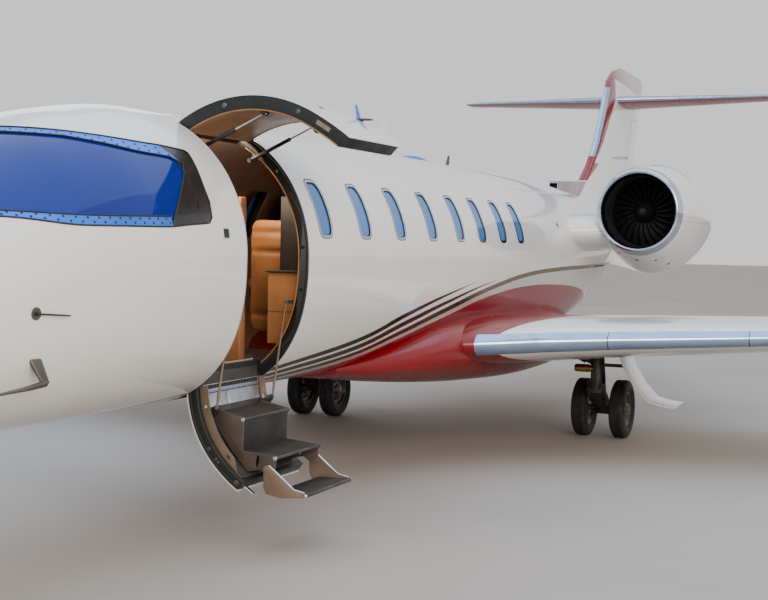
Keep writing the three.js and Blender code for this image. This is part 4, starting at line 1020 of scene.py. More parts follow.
def patch(name, columns, out_lift, in_lift):
    """A closed plate between two lifts. Columns are lists of (point, normal) pairs on the skin."""
    wide, tall = len(columns), len(columns[0])
    points = [p + n * lift for lift in (out_lift, in_lift) for column in columns for p, n in column]
    half = wide * tall

    def at(i, j, layer):
        return layer * half + i * tall + j

    faces = []
    for i in range(wide - 1):
        for j in range(tall - 1):
            faces.append((at(i, j, 0), at(i + 1, j, 0), at(i + 1, j + 1, 0), at(i, j + 1, 0)))
            faces.append((at(i, j, 1), at(i, j + 1, 1), at(i + 1, j + 1, 1), at(i + 1, j, 1)))
    edge = [(i, 0) for i in range(wide)] + [(wide - 1, j) for j in range(1, tall)]
    edge += [(i, tall - 1) for i in range(wide - 2, -1, -1)] + [(0, j) for j in range(tall - 2, 0, -1)]
    for k, (i, j) in enumerate(edge):
        m, n = edge[(k + 1) % len(edge)]
        faces.append((at(i, j, 0), at(i, j, 1), at(m, n, 1), at(m, n, 0)))
    return crisp(face_outwards(mesh_piece(name, points, faces)), 40)


# Windshield: places on it are an angle round a vertical line at SHIELD_AXIS, from port (0) to
# ahead (90), and Z
SHIELD_AXIS = 3.0
# Angle, lower and upper edge of a pane, from its aft corner to the centre post
SHIELD_EDGES = (
    (-51.0, 2.227, 2.230), (-47.6, 2.143, 2.240), (-44.4, 2.038, 2.247), (-42.2, 1.890, 2.250),
    (-40.4, 1.846, 2.251), (-33.2, 1.834, 2.259), (-21.2, 1.818, 2.270), (0.0, 1.815, 2.283),
    (19.7, 1.813, 2.287), (48.1, 1.841, 2.288), (90.0, 1.850, 2.290),
)
# Angle and inner edge of the lower and of the upper strip, and of the corner frame's slanted front
LOW_STRIP = ((-24.0, 1.871), (18.5, 1.862), (48.0, 1.870), (90.0, 1.880))
HIGH_STRIP = ((-43.7, 2.152), (-42.0, 2.185), (-31.4, 2.199), (-16.1, 2.229), (3.7, 2.252), (90.0, 2.262))
CORNER_EDGE = ((-43.7, 2.152), (-41.0, 2.106), (-34.5, 2.011), (-27.2, 1.895), (-24.0, 1.836))
# Angle and Z of the curved seal in the corner
CORNER_SEAL = ((-42.6, 2.160), (-40.3, 2.077), (-39.0, 1.946), (-37.8, 1.918), (-35.9, 1.908), (-29.1, 1.891))
shield_edges = curve_through(SHIELD_EDGES)
POST_HALF = 0.028


def shield_point(angle, z):
    """Where a level ray from the windshield's axis meets the skin."""
    direction = (cos(radians(angle)), sin(radians(angle)))
    near, far = 0.0, 2.2
    for _ in range(34):
        middle = (near + far) / 2
        station = SHIELD_AXIS - direction[1] * middle
        inside = body_level(max(station, 0.01), direction[0] * middle, z) < 1
        near, far = (middle, far) if inside else (near, middle)
    return at_station(SHIELD_AXIS - direction[1] * near, direction[0] * near, z)


def post_angle(z):
    """The angle at which the pane meets the centre post."""
    reach = shield_point(90.0, z).x - (NOSE_X - SHIELD_AXIS)
    return 90.0 - atan2(POST_HALF, reach) * (180 / pi)


def shield_columns(first, last, low, high, side, wide=70, tall=13):
    """A grid of skin places: low and high are functions of the angle. The last column ends at the post."""
    columns = []
    for share in spread(0.0, 1.0, wide):
        column = []
        for rise in spread(0.0, 1.0, tall):
            angle = first + (last - first) * share
            z = low(angle) + (high(angle) - low(angle)) * rise
            if last > 80:
                angle = first + (post_angle(z) - first) * share
            point = shield_point(angle, z)
            point = Vector((point.x, side * point.y, point.z))
            column.append((point, body_normal(point)[0]))
        columns.append(column)
    return columns


def shield_low(inset=0.0):
    return lambda angle: shield_edges(angle)[0] + inset


def shield_high(inset=0.0):
    return lambda angle: shield_edges(angle)[1] - inset


def edge_height(rows):
    curve = curve_through(rows)
    return lambda angle: curve(angle)[0]


SHIELD_AFT = -51.0
SHIELD_AHEAD = 80.0
STRIP_LOW_AFT = -24.0
STRIP_HIGH_AFT = -43.7


def shield_path(places, side, lift):
    """Skin points over (angle, Z) places, lifted off the skin."""
    points = [shield_point(angle, z) for angle, z in places]
    points = [Vector((p.x, side * p.y, p.z)) for p in points]
    return [p + body_normal(p)[0] * lift for p in points]


def build_windshields():
    low_inner, high_inner, slant = edge_height(LOW_STRIP), edge_height(HIGH_STRIP), edge_height(CORNER_EDGE)
    bottom, top = shield_low(0.005), shield_high(0.005)
    for name, side in SIDES:
        glass = patch(f"windshield_pane_{name}", shield_columns(
            SHIELD_AFT + 1.2, 90, shield_low(0.004), shield_high(0.004), side, 90), -0.005, -0.026)
        finish(glass, SHIELD_GLASS, replaces=(f"windshield_{name}",))
        strips, heads = [], []
        for aft, low, high in ((STRIP_LOW_AFT, bottom, low_inner), (STRIP_HIGH_AFT, high_inner, top)):
            strips.append(patch("strip", shield_columns(aft, 90, low, high, side, 80, 3), 0.0005, -0.004))
            for row, share in enumerate((0.27, 0.73)):
                angles = spread(aft + 1.2 + row * 1.3, 86.0, 90)
                path = shield_path([(a, low(a) + (high(a) - low(a)) * share) for a in angles], side, 0.0)
                heads.append(rivets_along("rivets", path, 0.068, 0.0064, 0.003))
        # The retainer strips are polished metal, coloured with a painted blue sky reflection.
        finish(joined(f"windshield_retainer_{name}", strips), SKY_REFLECTION_BLUE)
        finish(joined(f"windshield_fasteners_{name}", heads), SEAL)
        # The retainer's aft corner, painted near black as a dark reflection.
        corner = []
        for start, end, high, count in (
            (SHIELD_AFT + 1.2, STRIP_HIGH_AFT, top, 12), (STRIP_HIGH_AFT, STRIP_LOW_AFT, slant, 24),
        ):
            columns = shield_columns(start, end, bottom, high, side, count)
            corner.append(patch("corner", columns, 0.0005, -0.004))
        finish(joined(f"windshield_corner_{name}", corner), DARK_REFLECTION_FRAME)
        ahead = spread(SHIELD_AHEAD, SHIELD_AFT + 0.4, 90)
        outline = [(a, shield_edges(a)[0]) for a in ahead]
        outline += [(a, shield_edges(a)[1]) for a in reversed(ahead)]
        seals = [tube("seal", shield_path(outline, side, 0.001), 0.0042, 8)]
        for aft, height in ((STRIP_LOW_AFT, low_inner), (STRIP_HIGH_AFT, high_inner)):
            line = [(a, height(a)) for a in spread(SHIELD_AHEAD, aft, 70)]
            seals.append(tube("seal", shield_path(line, side, 0.0015), 0.0042, 8))
        line = [(a, slant(a)) for a in spread(STRIP_HIGH_AFT, STRIP_LOW_AFT, 20)]
        seals.append(tube("seal", shield_path(line, side, 0.0015), 0.003, 8))
        finish(joined(f"windshield_seals_{name}", seals), SEAL)
        curve = tube(f"windshield_corner_seal_{name}", shield_path(CORNER_SEAL, side, 0.002), 0.0032, 8)
        finish(curve, DUCT_GREY, slot="strut_black")


# Cabin windows: lower and upper edge, half width, how square the corners are, and middles
WINDOW_LOW = 1.781
WINDOW_HIGH = 2.148
WINDOW_HALF = 0.101
WINDOW_POWER = 4.2
WINDOW_STATIONS = (5.091, 5.693, 6.298, 6.917, 7.519, 8.049, 8.593, 9.095)


def oval(station, inset=0.0):
    middle, half_height = (WINDOW_LOW + WINDOW_HIGH) / 2, (WINDOW_HIGH - WINDOW_LOW) / 2 - inset
    places = []
    for angle in turns(56):
        across = signed_power(cos(angle), 2 / WINDOW_POWER) * (WINDOW_HALF - inset)
        places.append((station - across, middle + signed_power(sin(angle), 2 / WINDOW_POWER) * half_height))
    return places


def oval_plate(name, station, side, inset, out_lift, in_lift):
    """A closed plate that fills an oval on the skin."""
    outline = oval(station, inset)
    centre = (station, (WINDOW_LOW + WINDOW_HIGH) / 2)
    layers = []
    for share in [k / 6 for k in range(1, 7)]:
        layers.append([
            (centre[0] + (s - centre[0]) * share, centre[1] + (z - centre[1]) * share) for s, z in outline
        ])
    sheet = [[on_skin(s, z, side, out_lift) for s, z in layer] for layer in layers]
    back = [[on_skin(s, z, side, in_lift) for s, z in layer] for layer in reversed(layers)]
    return loft(name, sheet + back, degrees=50)


def build_cabin_windows():
    for name, side in SIDES:
        panes, frames, seals = [], [], []
        for station in WINDOW_STATIONS:
            panes.append(oval_plate("pane", station, side, 0.014, -0.008, -0.014))
            frames.append(ribbon("frame", oval(station, 0.004), side, 0.014, -0.012, 0.001))
            seals.append(ribbon("seal", oval(station, -0.002), side, 0.0055, -0.012, 0.0006))
            seals.append(ribbon("seal", oval(station, 0.018), side, 0.004, -0.012, -0.002))
        finish(joined(f"cabin_panes_{name}", panes), CABIN_GLASS, replaces=(f"cabin_windows_{name}",))
        finish(joined(f"cabin_window_frames_{name}", frames), POLISHED)
        finish(joined(f"cabin_window_seals_{name}", seals), SEAL)


# Entry door
# Stations of the doorway's edges, and the height where the two leaves meet
DOOR_FRONT = 4.071
DOOR_AFT = 4.826
DOOR_SPLIT = 1.422
# Y and Z of the hinge pins, and how far the leaves are turned open, in degrees
UPPER_HINGE = (0.386, 2.411)
LOWER_HINGE = (0.477, 0.896)
UPPER_OPEN = 60.2
LOWER_OPEN = -113.8
LEAF_GAP = 0.006
# Station whose section shapes the leaves
DOOR_SECTION = 4.4


def door_point(angle, grow=0.0):
    """A place on the section at the doorway, by its angle in degrees."""
    return body_point(DOOR_SECTION, radians(angle), grow)


def section_arc(low_angle, high_angle, grow, count=40):
    """Points of the section between two angles, as Y and Z."""
    return [(p.y, p.z) for p in (door_point(a, grow) for a in spread(low_angle, high_angle, count))]


def arc_at(station, *arc):
    """The same points as places at a station."""
    return [at_station(station, y, z) for y, z in section_arc(*arc)]


def section_angle(test, low, high):
    """The section angle where a test on (y, z) turns from true to false."""
    for _ in range(40):
        middle = (low + high) / 2
        point = door_point(middle)
        low, high = (middle, high) if test(point.y, point.z) else (low, middle)
    return low


HINGE_TOP = section_angle(lambda y, z: y > UPPER_HINGE[0] + 0.004, 10, 90)
HINGE_LOW = -70.5
SPLIT_ANGLE = section_angle(lambda y, z: z < DOOR_SPLIT, -60, 10)


def doorway_cutter():
    """Everything outboard of the doorway's edges, through the wall."""
    inner = section_arc(HINGE_LOW - 1.2, HINGE_TOP + 0.4, -0.16)
    outer = section_arc(HINGE_LOW - 1.2, HINGE_TOP + 0.4, 0.2)
    return prism("doorway", inner + outer[::-1], NOSE_X - DOOR_AFT, NOSE_X - DOOR_FRONT, degrees=60)


def leaf_plate(name, low, high, out_grow, in_grow, front_inset, aft_inset):
    """A piece of a door leaf in its closed place: between two section angles and two depths."""
    outline = section_arc(low, high, out_grow) + section_arc(low, high, in_grow)[::-1]
    front = NOSE_X - DOOR_FRONT - LEAF_GAP - front_inset
    aft = NOSE_X - DOOR_AFT + LEAF_GAP + aft_inset
    return prism(name, outline, aft, front, degrees=40)


def upper_leaf(obj):
    return turned(obj, UPPER_OPEN, *UPPER_HINGE)


def lower_leaf(obj):
    return turned(obj, LOWER_OPEN, *LOWER_HINGE)


def open_point(station, angle, grow, which):
    """A place on a leaf's section, moved to where the open leaf has it."""
    point = door_point(angle, grow)
    (y, z), degrees = (UPPER_HINGE, UPPER_OPEN) if which == "upper" else (LOWER_HINGE, LOWER_OPEN)
    pivot = Vector((0, y, z))
    moved = Matrix.Rotation(radians(degrees), 3, "X") @ (Vector((0, point.y, point.z)) - pivot) + pivot
    return at_station(station, moved.y, moved.z)


def door_skin(name, low, high):
    return skinned(leaf_plate(name, low, high, 0.0, -SKIN_THICK, 0.0, 0.0))


def hinge_tube(name, pin, body):
    ends = [at_station(s, *pin) for s in (DOOR_FRONT + 0.06, DOOR_AFT - 0.06)]
    finish(tube(name, ends, 0.0084, 20), GEAR_METAL, body)


# Y and Z of the struts' and stays' pins on the frame and on the open leaf, and their stations
STRUT_FRAME = (0.465, 2.247)
STRUT_DOOR = (0.925, 2.458)
STRUT_STATIONS = (("front", 4.118, 1), ("aft", 4.779, -1))
STAY_FRAME = (0.722, 1.392)
STAY_DOOR = (0.640, 0.812)
STAY_STATIONS = (("front", 4.126, 1), ("aft", 4.783, -1))
# Thickness of a leaf's skin, and depth of the upper leaf's lining and of the lower leaf's pan
SKIN_THICK = 0.004
LEAF_DEPTH = 0.078
PAN_DEPTH = 0.0642
PLATE_DEPTH = 0.112
# Gap between pieces that lie on each other
SLIP = 0.0002
# Depth of the buffers and latches in the edges, and section angles of the upper leaf's buffers
BUFFER_DEPTH = 0.038
BUFFER_ANGLES = (7.5, 41.0)
# Section angles of the upper leaf's latch plate, station and angle of the dot on its skin
LATCH_PLATE = (-5.0, -0.6)
SKIN_DOT = (4.46, 12.0)
# Angle and radius of the lower leaf's edge buffers
LOWER_BUFFERS = ((-33.5, 0.013), (-28.0, 0.009), (-26.4, 0.009), (-15.0, 0.016))
BUFFER_PROFILE = ((-0.004, 0.0), (-0.004, 0.013), (0.001, 0.014), (0.004, 0.009), (0.003, 0.0))
# Brackets round the strut's and the stay's pin on a leaf, as Y and Z from the pin
STRUT_BRACKET = (
    (-0.014, -0.006), (-0.006, -0.014), (0.006, -0.014), (0.014, -0.006), (0.026, 0.060), (-0.022, 0.060))
STAY_BRACKET = ((-0.09, -0.04), (-0.014, 0.014), (0.014, 0.014), (0.014, -0.014), (-0.06, -0.09))


def leaf_trim(angles, depth):
    """Thin tan rails round a leaf's lining."""
    stations = (DOOR_FRONT + 0.016, DOOR_AFT - 0.046)
    paths = [arc_at(station, *angles, -depth, 60) for station in stations]
    for angle in angles:
        point = door_point(angle, -depth)
        paths.append([at_station(s, point.y, point.z) for s in stations])
    return [tube("trim", path, 0.006, 8) for path in paths]


def build_upper_door():
    body = "upper_door"
    low = SPLIT_ANGLE + 0.4
    finish(upper_leaf(door_skin("upper_door_skin", low, HINGE_TOP)), SCHEME, body, replaces=("upper_door",))
    core = leaf_plate(
        "upper_door_edge", low + 0.7, HINGE_TOP - 1.0, -SKIN_THICK - SLIP, -LEAF_DEPTH, 0.003, 0.04)
    finish(upper_leaf(rounded(core, 0.005)), DOOR_EDGE, body)
    lining = leaf_plate(
        "upper_door_lining", low + 1.8, HINGE_TOP - 2.5, -LEAF_DEPTH - SLIP, -LEAF_DEPTH - 0.005, 0.02, 0.05)
    finish(upper_leaf(rounded(lining, 0.002)), DOOR_LINING, body)
    trims = leaf_trim((low + 1.6, HINGE_TOP - 2.2), LEAF_DEPTH + 0.002)
    finish(upper_leaf(joined("upper_door_trim", trims)), TAN_TRIM, body)
    build_edge_fittings(body)
    centre = open_point(*SKIN_DOT, 0.0, "upper")
    out = (open_point(*SKIN_DOT, 0.1, "upper") - centre).normalized()
    dot = tube("upper_door_skin_dot", [centre - out * 0.003, centre + out * 0.003], 0.015, 20)
    finish(dot, SEAL, body)
    handle = [
        open_point(DOOR_FRONT + 0.10 + 0.16 * t, low + 14, -LEAF_DEPTH - 0.005 - 0.03 * sin(pi * t), "upper")
        for t in spread(0.0, 1.0, 16)]
    finish(tube("upper_door_handle", handle, 0.008, 10), DARK_TRIM, body, "strut_black")
    hinge_tube("upper_door_hinge_tube", UPPER_HINGE, body)
    build_tee_antenna()
    brackets = []
    for _, station, _ in STRUT_STATIONS:
        outline = [(STRUT_DOOR[0] + a, STRUT_DOOR[1] + b) for a, b in STRUT_BRACKET]
        for outward in (1, -1):
            face = NOSE_X - station + outward * 0.016
            brackets.append(prism("bracket", outline, face, face + outward * 0.004))
        pin = [(NOSE_X - station + reach, *STRUT_DOOR) for reach in (-0.021, 0.021)]
        brackets.append(tube("pin", pin, 0.005, 12))
    finish(joined("upper_door_strut_brackets", brackets), GEAR_METAL, body)


def build_edge_fittings(body):
    """Round buffers in the upper leaf's edges, and the amber latch plate in its forward edge."""
    buffers = []
    for station, outward in ((DOOR_FRONT + LEAF_GAP + 0.003, 1), (DOOR_AFT - LEAF_GAP - 0.04, -1)):
        for angle in BUFFER_ANGLES:
            point = door_point(angle, -BUFFER_DEPTH)
            buffers.append(button(BUFFER_PROFILE, (NOSE_X - station, point.y, point.z), outward, 24))
    finish(upper_leaf(joined("upper_door_buffers", buffers)), RIM_METAL, body)
    face = NOSE_X - DOOR_FRONT - LEAF_GAP
    for name, grow, depths, out, material in (
        ("border", 0.9, (-0.019, -0.057), 0.001, SEAL), ("plate", 0.0, (-0.026, -0.050), 0.003, AMBER),
    ):
        angles = (LATCH_PLATE[0] - grow, LATCH_PLATE[1] + grow)
        outline = section_arc(*angles, depths[0], 8) + section_arc(*angles, depths[1], 8)[::-1]
        fitting = prism(f"upper_door_latch_{name}", outline, face - 0.008, face - 0.003 + out)
        finish(upper_leaf(fitting), material, body, "bronze")


# T-shaped antenna: station and section angle of its foot, its tip from there, half the cross
# plate's length and width, and the plate's two directions
TEE_PLACE = (4.74, 4.0)
TEE_TIP = Vector((0.008, -0.018, 0.088))
TEE_HALF = (0.075, 0.02)
TEE_ALONG, TEE_ACROSS = Vector((-0.4, 0.917, 0)), Vector((0.917, 0.4, 0))


def blade(name, foot, tip, chords, thick):
    """A slim blade between two centres, with the chord and the thickness of its foot and tip."""
    rings = []
    for share in spread(0.0, 1.0, 7):
        centre = foot.lerp(tip, share)
        chord = chords[0] + (chords[1] - chords[0]) * share
        half = (thick[0] + (thick[1] - thick[0]) * share) / 2
        rings.append([
            centre + Vector((-1, 0, 0)) * cos(t) * chord / 2 + Vector((0, 1, 0)) * sin(t) * half
            for t in turns(20)])
    return loft(name, rings)


def build_tee_antenna():
    """An upright blade on a level cross plate, on the outer face of the upper door."""
    root = open_point(*TEE_PLACE, 0.0, "upper")
    mast = blade("door_antenna_blade", root - TEE_TIP * 0.2, root + TEE_TIP, (0.075, 0.03), (0.011, 0.005))
    finish(mast, SKY_REFLECTION_BLUE, "upper_door")
    middle = root + Vector((-0.004, 0.014, 0.002))
    rings = []
    for lift, grow in ((-0.006, 0.75), (0.0, 1.0), (0.006, 0.75)):
        ring = []
        for t in turns(28):
            reach = TEE_ALONG * TEE_HALF[0] * cos(t)
            reach = reach + TEE_ACROSS * TEE_HALF[1] * sin(t) * abs(sin(t)) ** 0.5
            ring.append(middle + reach * grow + Vector((0, 0, lift)))
        rings.append(ring)
    plate = loft("plate", rings)
    stem = tube("stem", [middle - Vector((0, -0.01, 0.05)), middle], 0.007, 12)
    finish(joined("door_antenna_plate", [plate, stem]), DARK_TRIM, "upper_door", "strut_black")


# Airstair, as Y and Z
STAIR_FRONT = 4.2
STAIR_AFT = 4.75
# Inner Y, inner Z, nosing Y, nosing Z of a tread
TREADS = ((0.588, 0.776, 0.772, 0.752), (0.758, 0.566, 0.982, 0.548))
RISER = ((0.750, 0.752), (0.772, 0.752), (0.764, 0.560), (0.742, 0.560))
CHEEK = (
    (0.560, 0.770), (0.588, 0.790), (0.772, 0.756), (0.764, 0.570), (0.984, 0.552), (0.975, 0.480),
    (0.925, 0.440), (0.880, 0.470), (0.800, 0.452), (0.700, 0.560), (0.600, 0.690),
)
# Screw heads at the tread corners: how far out and radius
CORNER_PIN = ((0.0, 0.0), (0.0, 0.013), (0.003, 0.012), (0.0045, 0.007), (0.0045, 0.0))
STEP_PIN = ((0.0, 0.0), (0.0, 0.012), (0.006, 0.012), (0.010, 0.006), (0.010, 0.0))
STEP_BOSS = ((0.0, 0.0), (0.0, 0.024), (0.005, 0.022), (0.008, 0.010), (0.008, 0.0))
STEP_GAP = 0.006
STEP_NOSING = (1.178, 0.350)
STEP_PIVOT = (0.932, 0.478)
STEP_TREAD = ((0.968, 0.350), (1.176, 0.362), (1.180, 0.338), (0.968, 0.330))
STEP_ARM = (
    (0.908, 0.486), (0.922, 0.500), (0.944, 0.498), (1.104, 0.374), (1.172, 0.362), (1.178, 0.338),
    (1.010, 0.322), (0.930, 0.338), (0.912, 0.370),
)


def oval_outline(centre, half_long, half_wide, tilt):
    """An oval's outline round a centre, tilted in its plane."""
    c, s = cos(tilt), sin(tilt)
    points = []
    for t in turns(24):
        a, b = cos(t) * half_long, sin(t) * half_wide
        points.append((centre[0] + a * c - b * s, centre[1] + a * s + b * c))
    return points


def side_plate(station, outward, high):
    """A tan plate up one side of the stairs, narrower towards its top, with two oval holes."""
    outline = section_arc(HINGE_LOW + 8, high - 3, -PAN_DEPTH, 40)
    for angle in spread(high - 3, HINGE_LOW + 8, 40):
        narrowing = 0.045 * ease(clamp((angle - high + 12) / 7))
        point = door_point(angle, -(PLATE_DEPTH - narrowing))
        outline.append((point.y, point.z))
    x = NOSE_X - station
    plate = prism("side_plate", outline, *sorted((x, x - outward * 0.006)))
    holes = []
    for angle in (-52, -26):
        centre = door_point(angle, -0.087)
        shape = oval_outline((centre.y, centre.z), 0.016, 0.009, radians(angle + 90))
        holes.append(prism("hole", shape, x - 0.05, x + 0.05))
    return crisp(cut(plate, holes), 30)


def build_lower_door():
    body = "lower_door"
    high = SPLIT_ANGLE - 0.4
    finish(lower_leaf(door_skin("lower_door_skin", HINGE_LOW, high)), SCHEME, body, replaces=("lower_door",))
    edge = leaf_plate(
        "lower_door_edge", HINGE_LOW + 0.6, high - 0.5, -SKIN_THICK - SLIP, SLIP - PAN_DEPTH, 0.003, 0.003)
    finish(lower_leaf(rounded(edge, 0.006)), DOOR_EDGE, body)
    pan = leaf_plate("lower_door_pan", HINGE_LOW + 2.5, high - 2.5, -PAN_DEPTH, -0.069, 0.055, 0.055)
    finish(lower_leaf(rounded(pan, 0.003)), DARK_TRIM, body)
    seals = []
    for station in (DOOR_FRONT + LEAF_GAP + 0.003, DOOR_AFT - LEAF_GAP - 0.003):
        seals.append(tube("seal", arc_at(station, HINGE_LOW + 0.8, high - 0.6, -0.020, 60), 0.0045, 8))
    finish(lower_leaf(joined("lower_door_seals", seals)), SEAL, body)
    plates = [side_plate(DOOR_FRONT + 0.040, 1, high), side_plate(DOOR_AFT - 0.040, -1, high)]
    finish(lower_leaf(joined("lower_door_side_plates", plates)), BRONZE, body)
    build_stairs(body)
    marks = []
    for angle, size in LOWER_BUFFERS:
        point = door_point(angle, -0.036)
        profile = ((-0.004, 0.0), (-0.004, size), (0.002, size), (0.004, size * 0.6), (0.004, 0.0))
        marks.append(button(profile, (NOSE_X - DOOR_FRONT - LEAF_GAP - 0.003, point.y, point.z)))
    finish(lower_leaf(joined("lower_door_buffers", marks)), HOT_METAL, body, "wheel_metal")
    tongue = rounded(block("latch_tongue", (-0.014, -0.042, -0.006), (0.014, 0.042, 0.006)), 0.004)
    tip = open_point(DOOR_FRONT + 0.05, high, -0.034, "lower")
    toward = (tip - open_point(DOOR_FRONT + 0.05, high - 4, -0.034, "lower")).normalized()
    tilt = atan2(toward.z, toward.y)
    reshape(tongue, Matrix.Translation(tip + toward * 0.028) @ Matrix.Rotation(tilt, 4, "X"))
    finish(tongue, CHROME, body)
    hinge_tube("lower_door_hinge_tube", LOWER_HINGE, body)
    brackets = []
    for _, station, facing in STAY_STATIONS:
        x = NOSE_X - station - facing * 0.0075
        outline = [(STAY_DOOR[0] + a, STAY_DOOR[1] + b) for a, b in STAY_BRACKET]
        bracket = prism("bracket", outline, *sorted((x, x - facing * 0.016)))
        brackets.append(rounded(bracket, 0.003))
    finish(joined("stay_brackets", brackets), GEAR_METAL, body)


def build_stairs(body):
    front, aft = NOSE_X - STAIR_FRONT, NOSE_X - STAIR_AFT
    cheeks = []
    for start, end in ((front - 0.012, front), (aft, aft + 0.012)):
        cheek = prism("cheek", CHEEK, start, end)
        shape = oval_outline((0.862, 0.515), 0.036, 0.011, radians(80))
        cheeks.append(rounded(cut(cheek, [prism("slot", shape, start - 0.01, end + 0.01)]), 0.0025))
    finish(joined("stair_cheeks", cheeks), CHEEK_METAL, body)
    grips, nosings, pins = [], [], []
    for inner_y, inner_z, nose_y, nose_z in TREADS:
        outline = [(inner_y, inner_z), (nose_y - 0.008, nose_z), (nose_y - 0.008, nose_z - 0.018),
                   (inner_y, inner_z - 0.018)]
        grips.append(rounded(prism("tread", outline, aft + 0.0122, front - 0.0122), 0.002))
        corners = [(x, nose_y - 0.006, nose_z - 0.008) for x in (aft, front)]
        nosings.append(tube("nosing", corners, 0.0095, 14))
        pins += [button(CORNER_PIN, corners[1]), button(CORNER_PIN, corners[0], -1)]
    grips.append(rounded(prism("riser", RISER, aft + 0.0122, front - 0.0122), 0.003))
    finish(joined("stair_treads", grips), GRIP, body)
    finish(joined("stair_nosings", nosings), DARK_TRIM, body, "strut_black")
    finish(joined("stair_corner_pins", pins), CHROME, body)


def build_folding_step():
    body = "folding_step"
    front, aft = NOSE_X - STAIR_FRONT, NOSE_X - STAIR_AFT
    arms, edges, ends = [], [], []
    for face, outward in ((front, 1), (aft, -1)):
        near, far = face + outward * STEP_GAP, face + outward * (STEP_GAP + 0.010)
        arms.append(rounded(prism("arm", STEP_ARM, *sorted((near, far))), 0.003))
        top = [STEP_ARM[2], (1.02, 0.439), STEP_ARM[3], STEP_ARM[4]]
        edges.append(tube("edge", [((near + far) / 2, y, z + 0.002) for y, z in top], 0.006, 10))
        arms.append(button(STEP_BOSS, (far, *STEP_PIVOT), outward, 28))
        arms.append(tube("pivot", [(far, *STEP_PIVOT), (face + outward * 0.0003, *STEP_PIVOT)], 0.009, 16))
        ends.append((far, *STEP_NOSING))
    finish(joined("folding_step_arms", arms), BRONZE, body, replaces=("folding_step",))
    finish(joined("folding_step_arm_edges", edges), CHROME, body)
    tread = prism("folding_step_tread", STEP_TREAD, aft - STEP_GAP - 0.002, front + STEP_GAP + 0.002)
    finish(rounded(tread, 0.003), GRIP, body)
    finish(tube("folding_step_nosing", ends[::-1], 0.011, 14), DARK_TRIM, body, "strut_black")
    pins = [button(STEP_PIN, ends[0]), button(STEP_PIN, ends[1], -1)]
    finish(joined("folding_step_pins", pins), CHROME, body)


def along_strut(share, station):
    y, z = (STRUT_FRAME[i] + (STRUT_DOOR[i] - STRUT_FRAME[i]) * share for i in (0, 1))
    return at_station(station, y, z)


def build_struts_and_stays():
    for name, station, _ in STRUT_STATIONS:
        shares = (0.0, 0.02, 0.03, 0.57, 0.585, 0.6)
        radii = [0.007, 0.008, 0.0118, 0.0118, 0.0128, 0.0095]
        cylinder = tube("cylinder", [along_strut(s, station) for s in shares], radii, 20)
        rod = tube("rod", [along_strut(s, station) for s in (0.39, 0.975)], 0.0058, 16)
        eyes = []
        for pin, radius in ((STRUT_FRAME, 0.0138), (STRUT_DOOR, 0.0098)):
            eyes.append(tube("eye", [(NOSE_X - station + a, *pin) for a in (-0.013, 0.013)], radius, 20))
        finish(joined(f"strut_cylinder_{name}", [cylinder, eyes[0]]), STRUT_BLACK, f"strut_tube_{name}",
               replaces=(f"strut_tube_{name}",))
        finish(joined(f"strut_piston_{name}", [rod, eyes[1]]), CHROME, f"strut_rod_{name}",
               replaces=(f"strut_rod_{name}",))
    for name, station, _ in STAY_STATIONS:
        x = NOSE_X - station
        bars = [tube("rod", [(x, *STAY_DOOR), (x, *STAY_FRAME)], 0.0068, 14)]
        collar = [(x, STAY_DOOR[0] + a, STAY_DOOR[1] + b) for a, b in ((0.006, 0.04), (0.012, 0.09))]
        bars.append(tube("collar", collar, 0.0085, 14))
        for pin in (STAY_DOOR, STAY_FRAME):
            bars.append(tube("eye", [(x + a, *pin) for a in (-0.007, 0.007)], 0.0098, 18))
        finish(joined(f"stay_rod_{name}", bars), BRONZE, f"door_stay_{name}", replaces=(f"door_stay_{name}",))
    build_frame_lugs()


def build_frame_lugs():
    """Two blocks for each strut and stay that carry its pin from the doorway's edge."""
    lugs = []
    for stations, (y, z), start, post in (
        (STRUT_STATIONS, STRUT_FRAME, 0.0135, (0.013, 0.06)),
        (STAY_STATIONS, STAY_FRAME, 0.0075, (0.055, 0.013)),
    ):
        for name, station, facing in stations:
            edge = NOSE_X - (DOOR_FRONT if name == "front" else DOOR_AFT) + facing * 0.001
            near = sorted((NOSE_X - station + facing * start, edge + facing * 0.02))
            far = sorted((edge, edge + facing * 0.024))
            for (low, high), reach, bevel in ((near, (0.008, 0.008), 0.003), (far, post, 0.004)):
                lug = block("lug", (low, y - 0.013, z - 0.013), (high, y + reach[0], z + reach[1]))
                lugs.append(rounded(lug, bevel))
    finish(joined("door_frame_lugs", lugs), DARK_TRIM, slot="strut_black")


# Section angles of the latch rollers in the doorway's aft edge
LATCH_ANGLES = (-38, -24, -10, 4, 16, 28, 40)


def build_door_frame():
    """Seals, trim lines and latches round the doorway."""
    low, high = HINGE_LOW - 0.6, HINGE_TOP
    for name, station, facing in (("front", DOOR_FRONT, 1), ("aft", DOOR_AFT, -1)):
        black = arc_at(station - facing * 0.003, low, high, -0.012, 80)
        finish(tube(f"doorway_seal_{name}", black, 0.006, 10), SEAL)
        bright = arc_at(station - facing * 0.0005, low, high, 0.0008, 80)
        finish(tube(f"doorway_bright_edge_{name}", bright, 0.0026, 8), POLISHED)
        tan = arc_at(station - facing * 0.001, low + 8, high - 4, -0.068, 80)
        finish(tube(f"doorway_trim_{name}", tan, 0.0045, 10), TAN_TRIM)
    latches = []
    for angle in LATCH_ANGLES:
        point = door_point(angle, -BUFFER_DEPTH)
        ends = [(NOSE_X - DOOR_AFT + reach, point.y, point.z) for reach in (-0.006, 0.0035)]
        latches.append(tube("latch", ends, 0.011, 14))
    finish(joined("doorway_latch_rollers", latches), GEAR_METAL)


